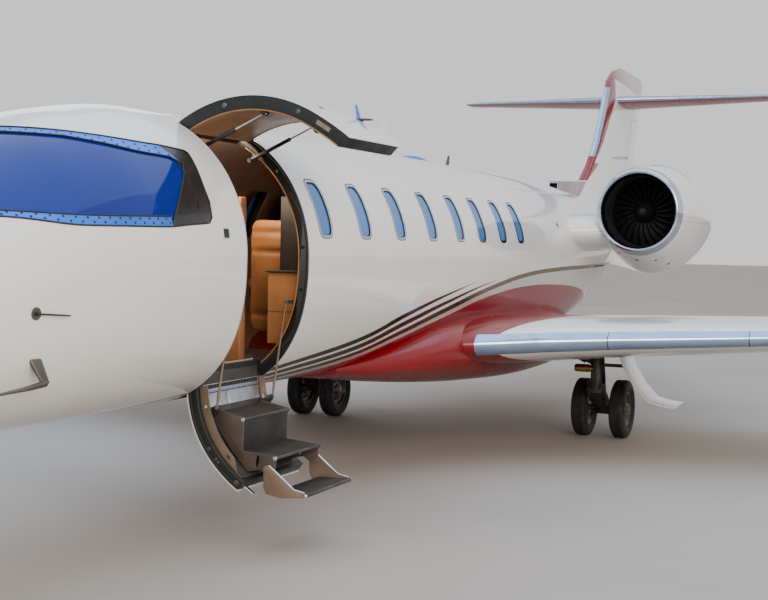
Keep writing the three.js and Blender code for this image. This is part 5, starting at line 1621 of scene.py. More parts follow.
def build_scuff_plates():
    """Bright plates on the lower leaf's pan above the top tread, with a row of teeth."""
    scuffs = []
    for low, high, front_inset, aft_inset in (
        (-62.6, -58.7, 0.045, 0.05), (-58.3, -51.8, 0.045, 0.43), (-58.3, -51.8, 0.301, 0.05),
    ):
        scuffs.append(rounded(leaf_plate("scuff", low, high, -0.0692, -0.0725, front_inset, aft_inset),
                              0.0012))
    finish(lower_leaf(joined("lower_door_scuff_plates", scuffs)), SCUFF, "lower_door")
    line = leaf_plate("lower_door_scuff_line", -59.3, -59.0, -0.0726, -0.0735, 0.05, 0.055)
    finish(lower_leaf(line), SKY_REFLECTION_BLUE, "lower_door")
    teeth = block("scuff_teeth", (-0.004, -0.003, -0.011), (0.004, 0.003, 0.011))
    start = open_point(DOOR_AFT - 0.08, -61.3, -0.0735, "lower")
    run_tree(teeth, ROW, Count=32, Start=tuple(start), Step=(0.0185, 0.0, 0.0), Material=SEAL)
    finish(teeth, None, "lower_door", "strut_black")


# Foils: wings, stabiliser, fins and pylons


def foil_half(share, ratio):
    share = max(share, 0.0)
    return 5 * ratio * (
        0.2969 * sqrt(share) - 0.126 * share - 0.3516 * share**2 + 0.2843 * share**3 - 0.1036 * share**4
    ) + 0.0006


def chord_shares(first, last, count):
    """Shares of the chord, closer together towards the leading edge."""
    return [first + (last - first) * (i / (count - 1)) ** 2 for i in range(count)]


def foil_ring(row, first=0.0, last=1.0, count=22):
    """A foil section. Row is (lead, trail, y, z, ratio, cant) and cant turns its thickness towards -Y."""
    lead, trail, y, z, ratio, cant = row
    chord = trail - lead
    ring = []
    shares = chord_shares(first, last, count)
    for share, sign in [(s, 1) for s in shares] + [(s, -1) for s in reversed(shares)]:
        offset = sign * foil_half(share, ratio) * chord
        ring.append(at_station(lead + share * chord, y - sin(cant) * offset, z + cos(cant) * offset))
    return ring


# Y, leading and trailing station, height, thickness share and cant in degrees
WING_ROWS = (
    (0.3, 7.2, 10.59, 0.939, 0.115, 0), (0.92, 7.38, 10.6, 0.966, 0.12, 0),
    (1.15, 7.52, 10.604, 0.976, 0.122, 0),
    (1.5, 7.8, 10.61, 0.991, 0.13, 0), (2.0, 8.035, 10.618, 1.013, 0.13, 0),
    (4.5, 8.81, 10.659, 1.122, 0.12, 0),
    (6.96, 9.572, 10.699, 1.23, 0.11, 0), (7.13, 9.65, 10.706, 1.262, 0.1, 40),
    (7.208, 9.8, 10.716, 1.38, 0.09, 68),
    (7.268, 10.36, 10.85, 2.23, 0.08, 82),
)
# Y, leading and trailing station, height and thickness share
TAILPLANE_ROWS = (
    (0.0, 15.69, 17.09, 3.806, 0.1), (2.56, 17.03, 17.59, 3.954, 0.09), (2.648, 17.17, 17.58, 3.959, 0.06),
)
LEAD_SHARE = 0.024


def linear_at(rows, place):
    """The row at a place, straight between its neighbours."""
    for a, b in zip(rows, rows[1:]):
        if place <= b[0]:
            t = (place - a[0]) / (b[0] - a[0])
            return [p + (q - p) * t for p, q in zip(a, b)]
    return list(rows[-1])


def wing_section(y):
    _, lead, trail, z, ratio, cant = linear_at(WING_ROWS, y)
    return (lead, trail, y, z, ratio, radians(cant))


def wing_sections():
    """Sections of the wing, close together where it turns up into the winglet."""
    sections = []
    for y in (0.3, 0.6, 0.92, 1.0, 1.08, 1.15, 1.24, 1.33, 1.42, 1.5, 1.65, 1.8, 2.0, 2.6, 3.2, 3.8, 4.5, 5.3,
              6.1, 6.7):
        sections.append(wing_section(y))
    bend = [
        (row[3], row[0], row[1], row[2], row[4], row[5]) for row in (WING_ROWS[6],) + WING_ROWS[7:]
    ]
    smooth = curve_through(bend)
    for z in spread(1.23, 1.40, 10) + spread(1.45, 2.23, 10):
        y, lead, trail, ratio, cant = smooth(z)
        sections.append((lead, trail, y, z, ratio, radians(cant)))
    return sections


def tail_section(y):
    _, lead, trail, z, ratio = linear_at(TAILPLANE_ROWS, abs(y))
    return (lead, trail, y, z, ratio, 0.0)


BAY_GAP = 0.009
END_GAP = 0.014


def hinge_of(row, share):
    chord = row[1] - row[0]
    return row[0] + share * chord, foil_half(share, row[4]) * chord * 0.94


def surface_ring(row, share):
    """A control surface's section: a round nose on the hinge line and a slim tail."""
    trail, chord = row[1], row[1] - row[0]
    hinge, radius = hinge_of(row, share)
    points = []
    for i in range(15):
        angle = pi * (0.5 + i / 14)
        points.append((hinge + cos(angle) * radius, sin(angle) * radius))
    points += [(trail, -0.0012 * chord), (trail, 0.0012 * chord)]
    return points


def bay_cutter(first, last, share, section, spread_half, upright=False):
    """The space behind the hinge line that a control surface needs."""
    rings = []
    past = END_GAP / (last - first)
    for t in (-past, 1 + past):
        place = first + (last - first) * t
        row = section(place)
        hinge, radius = hinge_of(row, share)
        front, rear = hinge - radius - BAY_GAP, row[1] + 0.08
        corners = ((front, spread_half), (rear, spread_half), (rear, -spread_half), (front, -spread_half))
        if upright:
            rings.append([at_station(s, off, place) for s, off in corners])
        else:
            rings.append([at_station(s, place, row[3] + off) for s, off in corners])
    return loft("bay", rings)


def control_surface(name, first, last, share, section, upright=False):
    rings = []
    for place in spread(first, last, 8):
        row = section(place)
        if upright:
            rings.append([at_station(s, off, place) for s, off in surface_ring(row, share)])
        else:
            rings.append([at_station(s, place, row[3] + off) for s, off in surface_ring(row, share)])
    return crisp(rounded(loft(name, rings, degrees=40), 0.0015, 2, 50), 40)


FLAP_SPAN = (1.08, 4.38)
AILERON_SPAN = (4.44, 6.7)
WING_HINGE = 0.79
TAIL_HINGE = 0.72
ELEVATOR_SPAN = (0.13, 2.38)
RUDDER_SPAN = (2.6, 3.64)


def build_wings():
    wing_paint = make_wing_paint()
    for name, side in SIDES:
        sections = wing_sections()
        panel = loft("wing_panel", [foil_ring(s, LEAD_SHARE, 1.0) for s in sections], degrees=40)
        bays = [bay_cutter(*span, WING_HINGE, wing_section, 0.3) for span in (FLAP_SPAN, AILERON_SPAN)]
        panel = crisp(cut(panel, bays), 40)
        panel.name = f"wing_panel_{name}"
        finish(on_side(panel, side), wing_paint, slot="white_paint", replaces=(f"wing_{name}",))
        outboard = [s for s in sections if s[2] >= 1.0]
        rings = [foil_ring(s, 0.0, LEAD_SHARE - 0.0006, 14) for s in outboard]
        finish(on_side(loft(f"wing_leading_edge_{name}", rings), side), EDGE_METAL)
        rings = [foil_ring(s, 0.0, LEAD_SHARE, 14) for s in sections if s[2] <= 1.0]
        finish(on_side(loft(f"wing_root_edge_{name}", rings), side), RED_PAINT)
        for kind, span in (("flap", FLAP_SPAN), ("aileron", AILERON_SPAN)):
            part = on_side(control_surface(f"{kind}_panel_{name}", *span, WING_HINGE, wing_section), side)
            finish(part, WHITE_PAINT, f"{kind}_{name}", replaces=(f"{kind}_{name}",))


# Height, leading and trailing station and thickness share
FIN_ROWS = (
    (2.25, 13.56, 16.95, 0.07), (2.6, 14.19, 17.042, 0.075), (2.85, 14.57, 17.12, 0.08),
    (3.19, 14.93, 17.252, 0.085), (3.8, 15.35, 17.49, 0.085), (4.05, 15.49, 17.6, 0.08),
    (4.21, 15.76, 17.68, 0.06), (4.3, 16.15, 17.56, 0.03),
)


def fin_section(z):
    _, lead, trail, ratio = linear_at(FIN_ROWS, z)
    return (lead, trail, 0.0, z, ratio, 0.0)


def fin_ring(z, first=0.0, last=1.0, count=22):
    lead, trail, _, _, ratio, _ = fin_section(z)
    chord = trail - lead
    shares = chord_shares(first, last, count)
    pairs = [(s, 1) for s in shares] + [(s, -1) for s in reversed(shares)]
    return [at_station(lead + s * chord, sign * foil_half(s, ratio) * chord, z) for s, sign in pairs]


FIN_HEIGHTS = (
    2.25, 2.4, 2.5, 2.6, 2.68, 2.76, 2.85, 3.0, 3.19, 3.4, 3.6, 3.8, 3.93, 4.05, 4.13, 4.21, 4.255, 4.3,
)
# How far the strips on the fin's leading edge stand ahead of it
FIN_STRIP_LIFT = Vector((0.0012, 0, 0))


def fin_strip(name, share, low, high, count, material):
    """A strip on the fin's leading edge, over a share of the chord, between two heights."""
    rings = [[p + FIN_STRIP_LIFT for p in fin_ring(z, 0.0, share, 12)] for z in spread(low, high, count)]
    finish(loft(name, rings), material)


def build_tail():
    fin_paint = make_fin_paint()
    fin = loft("fin_panel", [fin_ring(z, 0.0, 1.0, 26) for z in FIN_HEIGHTS], degrees=40)
    fin = cut(fin, [bay_cutter(*RUDDER_SPAN, TAIL_HINGE, fin_section, 0.4, upright=True)])
    finish(crisp(fin, 40), fin_paint, slot="white_paint", replaces=("fin",))
    fin_strip("fin_leading_edge", 0.035, 2.96, 3.95, 14, EDGE_METAL)
    fin_strip("fin_foot_edge", 0.012, 2.615, 2.955, 8, RED_PAINT)
    rudder = control_surface("rudder_panel", *RUDDER_SPAN, TAIL_HINGE, fin_section, upright=True)
    finish(rudder, fin_paint, "rudder", "white_paint", replaces=("rudder",))
    spans = [-2.648, -2.6, -2.56] + spread(-2.3, -0.2, 6) + [0.0] + spread(0.2, 2.3, 6) + [2.56, 2.6, 2.648]
    panel = loft("stabiliser_panel", [foil_ring(tail_section(y), LEAD_SHARE) for y in spans], degrees=40)
    cutters = [bay_cutter(*ELEVATOR_SPAN, TAIL_HINGE, tail_section, 0.2)]
    cutters.append(reshape(bay_cutter(*ELEVATOR_SPAN, TAIL_HINGE, tail_section, 0.2), MIRROR))
    finish(crisp(cut(panel, cutters), 40), RED_PAINT, replaces=("stabiliser",))
    rings = [foil_ring(tail_section(y), 0.0, LEAD_SHARE - 0.0006, 14) for y in spans]
    finish(loft("stabiliser_leading_edge", rings), EDGE_METAL)
    for name, side in SIDES:
        part = control_surface(f"elevator_panel_{name}", *ELEVATOR_SPAN, TAIL_HINGE, tail_section)
        finish(on_side(part, side), WHITE_PAINT, f"elevator_{name}", replaces=(f"elevator_{name}",))
    build_scoop()
    for name, side in SIDES:
        fin = slanted_fin(f"ventral_fin_panel_{name}", *VENTRAL_ROOT, *VENTRAL_TIP, VENTRAL_RATIO)
        finish(on_side(fin, side), WHITE_PAINT, replaces=(f"ventral_fin_{name}",))


# Leading and trailing corner of a ventral fin's root and tip, as station, Y and Z
VENTRAL_ROOT = ((13.475, 0.445, 1.595), (15.9, 0.1, 2.06))
VENTRAL_TIP = ((14.35, 0.72, 1.47), (15.9, 0.65, 1.4))
VENTRAL_RATIO = 0.03


def slanted_fin(name, root_lead, root_trail, tip_lead, tip_trail, ratio):
    """A thin foil whose four corners are given."""
    root_lead, root_trail, tip_lead, tip_trail = (
        at_station(*corner) for corner in (root_lead, root_trail, tip_lead, tip_trail))
    across = (root_trail - root_lead).cross(tip_trail - root_trail).normalized()
    rings = []
    for t in spread(0.0, 1.0, 7):
        lead, trail = root_lead.lerp(tip_lead, t), root_trail.lerp(tip_trail, t)
        chord = (trail - lead).length
        shares = chord_shares(0.0, 1.0, 20)
        pairs = [(s, 1) for s in shares] + [(s, -1) for s in reversed(shares)]
        rings.append([lead.lerp(trail, s) + across * sign * foil_half(s, ratio) * chord for s, sign in pairs])
    return loft(name, rings)


# Air scoop: its front and aft station and half width, and its mouth's half width, low and high
# edge and depth
SCOOP_FRONT = 13.0
SCOOP_AFT = 14.42
SCOOP_HALF = 0.06
SCOOP_MOUTH = (0.051, 2.434, 2.524, 0.12)


def build_scoop():
    """The air scoop ahead of the fin, with its mouth open."""
    front, aft = NOSE_X - SCOOP_FRONT, NOSE_X - SCOOP_AFT
    outline = [(front, 2.3), (front, 2.533), (front - 0.024, 2.545), (aft, 2.613), (aft, 2.3)]
    scoop = rounded(prism("tail_scoop", outline, -SCOOP_HALF, SCOOP_HALF, "Y"), 0.014, 4)
    half, low, high, depth = SCOOP_MOUTH
    mouth = rounded(block("mouth", (front - depth, -half, low), (front + 0.05, half, high)), 0.012, 3)
    scoop.data.materials.append(SCOOP_PAINT)
    finish(crisp(cut(scoop, [dressed(mouth, SEAL)]), 40), None, slot="white_paint")
    outline = [(0.9 * y, z) for y, z in ((-half, low), (half, low), (half, high), (-half, high))]
    lip = [Vector((front + 0.001, y / 0.9, z)) for y, z in outline]
    finish(tube("tail_scoop_lip", lip, 0.005, 8, ring_shaped=True), EDGE_METAL)


# Belly fairing: station, half width, top, bottom
FAIRING_ROWS = (
    (6.15, 0.42, 0.9, 0.79), (6.7, 0.76, 1.06, 0.716), (7.4, 0.93, 1.2, 0.64), (8.3, 0.985, 1.25, 0.57),
    (9.6, 0.985, 1.25, 0.515), (10.7, 0.9, 1.2, 0.52), (11.5, 0.69, 1.1, 0.66), (12.2, 0.4, 0.96, 0.88),
)
FAIRING_POWER = 0.72


def build_fairing():
    row_at = curve_through(FAIRING_ROWS)
    rings = []
    for station in spread(FAIRING_ROWS[0][0], FAIRING_ROWS[-1][0], 72):
        half, top, bottom = row_at(station)
        ring = []
        for angle in turns(96):
            y = signed_power(cos(angle), FAIRING_POWER) * half
            rise = signed_power(sin(angle), FAIRING_POWER) * (top - bottom) / 2
            ring.append(at_station(station, y, (top + bottom) / 2 + rise))
        rings.append(ring)
    finish(loft("belly_fairing_skin", rings), RED_PAINT, replaces=("belly_fairing",))


# Engines: middle line and station of the inlet lip's front
ENGINE_Y = 1.473
ENGINE_Z = 2.137
ENGINE_FRONT = 10.954
NACELLE_LONG = 2.666
# How far behind the lip, radius and how far the underside bulges below it
NACELLE_SKIN = (
    (0.0, 0.396, 0.0), (0.018, 0.418, 0.0), (0.07, 0.436, 0.004), (0.3, 0.478, 0.06), (0.8, 0.52, 0.13),
    (1.3, 0.512, 0.12), (2.0, 0.44, 0.06), (NACELLE_LONG, 0.338, 0.01),
)
NACELLE_DUCT = ((0.04, 0.368), (0.13, 0.36), (0.9, 0.36), (1.3, 0.44), (2.0, 0.396), (NACELLE_LONG, 0.318))
LIP_BACK = 0.11
FAN_STATION = 11.33
FAN_BLADES = 24
nacelle_row = curve_through(NACELLE_SKIN)
duct_row = curve_through(NACELLE_DUCT)
# Angle, how far behind the lip, radius and number of corners of the small vents under a cowl
COWL_VENTS = ((-118, 0.19, 0.016, 16), (-94, 0.217, 0.03, 3), (-72, 0.279, 0.014, 16), (-64, 0.54, 0.018, 16))


def nacelle_point(side, back, angle, radius, bulge):
    c, s = cos(angle), sin(angle)
    drop = bulge * min(0.0, s) ** 2
    return Vector((NOSE_X - ENGINE_FRONT - back, side * (ENGINE_Y + c * radius),
                   ENGINE_Z + s * radius - drop))


def nacelle_ring(side, back, radius=None, shrink=0.0):
    bulge = 0.0
    if radius is None:
        radius, bulge = nacelle_row(back)
    return [nacelle_point(side, back, angle, radius - shrink, bulge) for angle in turns(96)]


# Inside of the inlet lip: place behind the lip's front and radius
LIP_INSIDE = ((0.012, 0.382), (0.04, 0.368), (0.08, 0.3625), (0.13, 0.3605), (0.13, 0.372))
# Station of the engine core's front, and its outline: place ahead of that station and radius
CORE_STATION = 11.58
CORE_PROFILE = (
    (0.0, 0.07), (0.0, 0.3597), (-0.07, 0.3597), (-0.09, 0.30), (-1.52, 0.27), (-1.72, 0.19),
    (-2.10, 0.09), (-2.32, 0.03), (-2.32, 0.0),
)


def build_engines():
    for name, side in SIDES:
        centre = Vector((NOSE_X - ENGINE_FRONT, side * ENGINE_Y, ENGINE_Z))
        rings = [nacelle_ring(side, b) for b in spread(LIP_BACK, 0.02, 10)]
        for t in spread(0.15, pi / 2, 6):
            rings.append(nacelle_ring(side, 0.02 * (1 - sin(t)), 0.396 + 0.022 * cos(t)))
        for back, radius in LIP_INSIDE:
            rings.append(nacelle_ring(side, back, radius))
        rings.append(nacelle_ring(side, LIP_BACK, shrink=0.012))
        finish(loft(f"inlet_lip_{name}", rings, ring_shaped=True, degrees=28), POLISHED)
        outer = [nacelle_ring(side, b) for b in spread(LIP_BACK + 0.0008, NACELLE_LONG, 40)]
        inner = [nacelle_ring(side, b, shrink=0.012) for b in spread(NACELLE_LONG, LIP_BACK, 14)]
        cowl = loft(f"nacelle_cowl_{name}", outer + inner, ring_shaped=True, degrees=28)
        finish(cowl, make_cowl_paint(name, side), slot="white_paint", replaces=(f"nacelle_{name}",))
        duct = [(-b, duct_row(b)[0]) for b in spread(0.131, 2.66, 36)]
        back_wall = [(-b, duct_row(b)[0] + 0.008) for b in spread(2.66, 0.131, 36)]
        finish(spun(f"inlet_duct_{name}", duct + back_wall, centre, sides=80), DUCT_GREY)
        vents = []
        for degrees, back, size, corners in COWL_VENTS:
            angle = radians(degrees)
            at = nacelle_point(side, back, angle, *nacelle_row(back))
            radius, drop = nacelle_row(back)
            out = (nacelle_point(side, back, angle, radius + 0.1, drop) - at).normalized()
            vents.append(tube("vent", [at - out * 0.008, at + out * 0.002], size, corners))
        finish(joined(f"cowl_vents_{name}", vents), SEAL)
        front = NOSE_X - CORE_STATION
        body = spun("core", CORE_PROFILE, (front, side * ENGINE_Y, ENGINE_Z), sides=64, closed=False)
        reach = (front - 0.01, NOSE_X - FAN_STATION - 0.1203)
        shaft = tube("shaft", [(x, side * ENGINE_Y, ENGINE_Z) for x in reach], 0.07, 24)
        finish(joined(f"engine_core_{name}", [body, shaft]), HOT_METAL, replaces=(f"engine_{name}",))
        build_fan(name, side)
        build_pylon(name, side)


# Radius of a fan blade's root and tip
FAN_ROOT, FAN_TIP = 0.095, 0.346
# Outline of the spinner: place behind the fan's station and radius
SPINNER_ROWS = ((-0.19, 0.001), (-0.17, 0.036), (-0.12, 0.072), (-0.06, 0.104), (0.0, 0.114), (0.12, 0.118))


def build_fan(name, side):
    centre = Vector((NOSE_X - FAN_STATION, side * ENGINE_Y, ENGINE_Z))
    rings = []
    for radius in spread(FAN_ROOT, FAN_TIP, 9):
        share = share_between(radius, FAN_ROOT, FAN_TIP)
        pitch = radians(28 + 34 * share)
        chord, thick = 0.095 + 0.035 * sin(pi * share), 0.010 - 0.006 * share
        sweep = 0.03 * share**2
        ring = []
        for t in turns(12):
            a = cos(t) * chord / 2
            b = sin(t) * thick / 2 + 0.010 * cos(t) ** 2
            ring.append(Vector((-0.03 - sweep + a * cos(pitch) - b * sin(pitch),
                                a * sin(pitch) + b * cos(pitch), radius)))
        rings.append(ring)
    blades = loft(f"fan_blades_{name}", rings, degrees=60)
    run_tree(blades, ROUND, Count=FAN_BLADES, Axis=(1.0, 0.0, 0.0), Centre=tuple(centre), Material=FAN_METAL)
    finish(blades, None, f"fan_{name}", "engine_metal", replaces=(f"fan_{name}",))
    cone = curve_through(SPINNER_ROWS)
    profile = [(-b, cone(b)[0]) for b in spread(-0.19, 0.12, 22)] + [(-0.12, 0.0)]
    finish(spun(f"fan_spinner_{name}", profile, centre, sides=48, closed=False), FAN_METAL, f"fan_{name}")


def build_pylon(name, side):
    rows = []
    for t in spread(0.0, 1.0, 8):
        lead = 10.64 + 0.61 * t
        rows.append((lead, lead + 2.7 - 0.7 * t, 0.5 + 0.973 * t, 1.9 + 0.05 * t, 0.145 + 0.045 * t, 0.0))
    backs = spread(0.02, NACELLE_LONG + 0.2, 24)
    for part, first, last in (("panel", 0.03, 1.0), ("leading_edge", 0.0, 0.0295)):
        piece = loft(f"pylon_{part}_{name}", [foil_ring(row, first, last, 22) for row in rows])
        inside = loft("inside", [nacelle_ring(1, back, shrink=0.006) for back in backs])
        piece = crisp(cut(piece, [inside]), 32)
        piece.name = f"pylon_{part}_{name}"
        finish(on_side(piece, side), WHITE_PAINT, slot="white_paint")


# Fuselage shells


def shell(name, start, end, wall, step, inner_material):
    """A hollow length of fuselage with flat ends. Its inner faces get their own material."""
    stations = stations_between(start, end, step)
    outer = [ring_of(s) for s in stations]
    inner = [ring_of(s, -wall) for s in reversed(stations)]
    obj = loft(name, outer + inner, ring_shaped=True, degrees=30)
    obj.data.materials.append(SCHEME)
    obj.data.materials.append(inner_material)
    for polygon in obj.data.polygons:
        if polygon.normal.dot(body_normal(polygon.center)[0]) < 0:
            polygon.material_index = 1
    return obj


def dressed(obj, material):
    obj.data.materials.append(material)
    return obj


# Baggage door: its front and aft edge, its upper edge, and its lower edge at SILL_Y with its rise inboard
BAGGAGE_FRONT = 11.96
BAGGAGE_AFT = 12.64
BAGGAGE_HIGH = 1.56
BAGGAGE_LOW = 1.24
SILL_Y = 0.64
SILL_RISE = 0.383
BAGGAGE_GAP = 0.008


def baggage_block(inset):
    """The baggage door's opening through the port wall, made smaller by an inset."""
    reach = (0.3, 1.1)
    low = [BAGGAGE_LOW + (SILL_Y - y) * SILL_RISE + inset for y in reach]
    high = BAGGAGE_HIGH - 2 * inset
    outline = [(reach[0], low[0]), (reach[1], low[1]), (reach[1], high), (reach[0], high)]
    return prism("baggage_opening", outline, NOSE_X - BAGGAGE_AFT + inset, NOSE_X - BAGGAGE_FRONT - inset)


TIP_STATIONS = [0.0, 0.004, 0.012, 0.025, 0.042]


def build_fuselage():
    stations = TIP_STATIONS + stations_between(0.06, RADOME_END - JOINT_GAP, 0.05)
    radome = loft("nose_radome", [ring_of(s) for s in stations])
    finish(skinned(radome), SCHEME, replaces=("nose_cone",))
    nose = shell("nose_skin", RADOME_END + JOINT_GAP, COCKPIT_END - JOINT_GAP / 2, WALL, 0.08, LINING)
    openings = []
    for _, side in SIDES:
        columns = shield_columns(SHIELD_AFT, 90, shield_low(), shield_high(), side, 60)
        openings.append(dressed(patch("opening", columns, 0.05, -0.13), SEAL))
    cut(nose, openings)
    finish(skinned(nose), None, slot="white_paint", replaces=("fuselage_nose",))
    cabin = shell("cabin_skin", COCKPIT_END + JOINT_GAP / 2, CABIN_END - JOINT_GAP / 2, WALL, 0.4, LINING)
    openings = [dressed(doorway_cutter(), DOOR_EDGE)]
    for _, side in SIDES:
        for station in WINDOW_STATIONS:
            outline = [(NOSE_X - s, z) for s, z in oval(station)]
            reach = sorted((side * 0.4, side * 1.2))
            openings.append(dressed(prism("opening", outline, *reach, "Y", 60), SEAL))
    cut(cabin, openings)
    finish(skinned(cabin), None, slot="white_paint", replaces=("fuselage_cabin",))
    tail = shell("tail_skin", CABIN_END + JOINT_GAP / 2, TAIL_END, TAIL_WALL, 0.12, DARK_TRIM)
    cut(tail, [dressed(baggage_block(0.0), SEAL)])
    finish(skinned(tail), None, slot="white_paint", replaces=("fuselage_tail",))
    door = shell("baggage_door_skin", BAGGAGE_FRONT - 0.1, BAGGAGE_AFT + 0.1, TAIL_WALL, 0.08, LINING)
    cut(door, [dressed(baggage_block(BAGGAGE_GAP), DOOR_EDGE)], "INTERSECT")
    finish(skinned(door), None, "baggage_door", "white_paint", replaces=("baggage_door",))
    hinge = [Vector((NOSE_X - 11.9, 0.79, 1.557)), Vector((NOSE_X - 12.7, 0.714, 1.557))]
    ends = [hinge[0].lerp(hinge[1], share) for share in (0.11, 0.89)]
    finish(tube("baggage_door_hinge", ends, 0.0078, 16), GEAR_METAL, "baggage_door")
    latches = []
    for station in (BAGGAGE_FRONT + 0.14, BAGGAGE_AFT - 0.14):
        ends = [on_skin(station, 1.285, 1, lift) for lift in (-0.01, 0.0012)]
        latches.append(tube("latch", ends, 0.014, 16))
    finish(joined("baggage_door_latches", latches), DARK_TRIM, "baggage_door", "strut_black")
    cap = loft("tail_cone_cap", [ring_of(s, -0.004) for s in (TAIL_END - 0.06, TAIL_END + 0.012)])
    finish(rounded(cap, 0.01), HOT_METAL)


# Landing gear: main axle's station, distance between the legs and between twin wheels, axle heights
MAIN_STATION = 9.73
MAIN_TRACK = 2.951
MAIN_TWIN = 0.354
MAIN_AXLE_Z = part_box("main_wheels_left")[0].z + (
    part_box("main_wheels_left")[1].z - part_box("main_wheels_left")[0].z) / 2
NOSE_AXLE_Z = (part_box("nose_wheel")[0].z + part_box("nose_wheel")[1].z) / 2
NOSE_STATION = 1.85


def tyre_profile(radius, half, rim, grooves):
    """A tyre's outline from one bead over the tread to the other, with grooves cut round the tread."""
    side = [(half * 0.72, rim + 0.001), (half * 0.90, rim + 0.018), (half, rim + (radius - rim) * 0.42),
            (half * 0.985, rim + (radius - rim) * 0.62), (half * 0.90, radius - 0.026),
            (half * 0.78, radius - 0.009),
            (half * 0.66, radius - 0.002)]
    crown = []
    for place in grooves:
        y = half * place
        crown += [(y + 0.005, radius), (y + 0.004, radius - 0.009), (y - 0.004, radius - 0.009),
                  (y - 0.005, radius)]
    left = [(-a, r) for a, r in reversed(side)]
    return side + crown + left


def build_tyre(name, centre, radius, half, rim, body, node):
    profile = tyre_profile(radius, half, rim, (0.42, 0.14, -0.14, -0.42))
    finish(spun(name, profile, centre, "Y", 72), RUBBER, body, replaces=(node,))


def wheel_disc(centre, half, rim, outward, holes=8):
    """A forged half wheel: rim flange, dished web with round holes, and a hub cap."""
    edge = rim + 0.0006
    profile = [(0.0, 0.03), (0.0, edge), (half, edge), (half, edge - 0.012), (half - 0.010, edge - 0.020),
               (0.022, edge - 0.030), (0.018, edge - 0.045), (0.026, 0.062), (half * 0.86, 0.052),
               (half, 0.040),
               (half, 0.03)]
    disc = spun("disc", [(outward * a, r) for a, r in profile], centre, "Y", 64)
    cutters = []
    for k in range(holes):
        angle = 2 * pi * (k + 0.5) / holes
        middle = (edge + 0.03) / 2
        at = Vector(centre) + Vector((cos(angle) * middle, 0, sin(angle) * middle))
        ends = [at + Vector((0, outward * reach, 0)) for reach in (-0.01, half + 0.02)]
        cutters.append(tube("hole", ends, (edge - 0.06) * 0.22, 16))
    cut(disc, cutters)
    profile = ((half - 0.002, 0.0), (half - 0.002, 0.036), (half + 0.010, 0.030), (half + 0.014, 0.0))
    return [crisp(disc, 35), button(profile, centre, outward, 32, "Y")]


# Outline of the brass cylinder on a main leg: place along its axis and radius
STEADY_PROFILE = (
    (-0.085, 0.0), (-0.085, 0.028), (-0.07, 0.036), (0.05, 0.036), (0.06, 0.024), (0.085, 0.022),
    (0.085, 0.0),
)


def bolt_circle(name, centre, radius, count, outward, material, reach):
    bolt = tube(name, [(0, outward * reach, radius), (0, outward * (reach + 0.008), radius)], 0.0055, 6)
    run_tree(bolt, ROUND, Count=count, Axis=(0.0, 1.0, 0.0), Centre=tuple(centre), Material=material)
    return bolt


# Half width, radius and rim radius of the main wheels and the nose wheel
MAIN_WHEEL = (0.073, 0.268, 0.158)
NOSE_WHEEL = (0.056, 0.2145, 0.104)


def build_main_gear():
    half_width, radius, rim = MAIN_WHEEL
    for name, side in SIDES:
        discs, bolts = [], []
        for row, offset in (("inner", -MAIN_TWIN / 2), ("outer", MAIN_TWIN / 2)):
            centre = Vector((NOSE_X - MAIN_STATION, side * (MAIN_TRACK / 2 + offset), MAIN_AXLE_Z))
            build_tyre(f"tyre_{name}_{row}", centre, radius, half_width, rim, f"main_wheels_{name}",
                       f"main_tyre_{name}_{row}")
            for outward in (1, -1):
                discs += wheel_disc(centre, half_width * 0.70, rim, outward)
                bolts.append(bolt_circle("bolts", centre, 0.052, 8, outward, CHROME, half_width * 0.62))
        axle = [(NOSE_X - MAIN_STATION, side * (MAIN_TRACK / 2 + o), MAIN_AXLE_Z) for o in (-0.177, 0.177)]
        discs.append(tube("axle", axle, 0.029, 32))
        finish(joined(f"main_wheel_discs_{name}", discs), RIM_METAL, f"main_wheels_{name}",
               replaces=(f"main_wheels_{name}",))
        finish(joined(f"main_wheel_bolts_{name}", bolts), CHROME, f"main_wheels_{name}")
        leg = refined(f"main_leg_{name}", f"main_leg_casting_{name}", 0.006)
        finish(leg, GEAR_METAL, replaces=(f"main_leg_{name}",))
        build_gear_details(name, side)
        door = refined(f"gear_door_{name}", f"gear_door_panel_{name}", 0.003, 50)
        finish(door, WHITE_PAINT, replaces=(f"gear_door_{name}",))


def build_gear_details(name, side):
    """Brass steady cylinder and brake lines on a main leg."""
    knee_x = NOSE_X - MAIN_STATION + 0.3
    y = MAIN_TRACK / 2
    centre = (knee_x + 0.045, side * (y - 0.10), 0.66)
    finish(spun(f"steady_cylinder_{name}", STEADY_PROFILE, centre, "Y", 28, closed=False), BRASS)
    lines = []
    for shift in (-0.05, 0.05):
        path = []
        for t in spread(0.0, 1.0, 18):
            x = knee_x - 0.02 - 0.26 * t
            path.append((x + 0.04 * sin(pi * t), side * (y + shift), 0.80 - 0.42 * t + 0.06 * sin(6 * t)))
        lines.append(tube("line", path, 0.006, 8))
    finish(joined(f"brake_lines_{name}", lines), SEAL)


def build_nose_gear():
    half_width, radius, rim = NOSE_WHEEL
    centre = Vector((NOSE_X - NOSE_STATION, 0, NOSE_AXLE_Z))
    build_tyre("nose_tyre_rubber", centre, radius, half_width, rim, "nose_wheel", "nose_tyre")
    discs = []
    for outward in (1, -1):
        discs += wheel_disc(centre, half_width * 0.70, rim, outward, 6)
    finish(joined("nose_wheel_discs", discs), RIM_METAL, "nose_wheel", replaces=("nose_wheel",))
    finish(refined("nose_leg", "nose_leg_casting", 0.006), GEAR_METAL, replaces=("nose_leg",))
    fork = refined("nose_fork", "nose_fork_casting", 0.005)
    finish(fork, GEAR_METAL, "nose_steering", replaces=("nose_fork",))
    for name, _ in SIDES:
        door = refined(f"nose_gear_door_{name}", f"nose_gear_door_panel_{name}", 0.003, 50)
        finish(door, WHITE_PAINT, replaces=(f"nose_gear_door_{name}",))


# Cabin


FLOOR_Z = 0.95
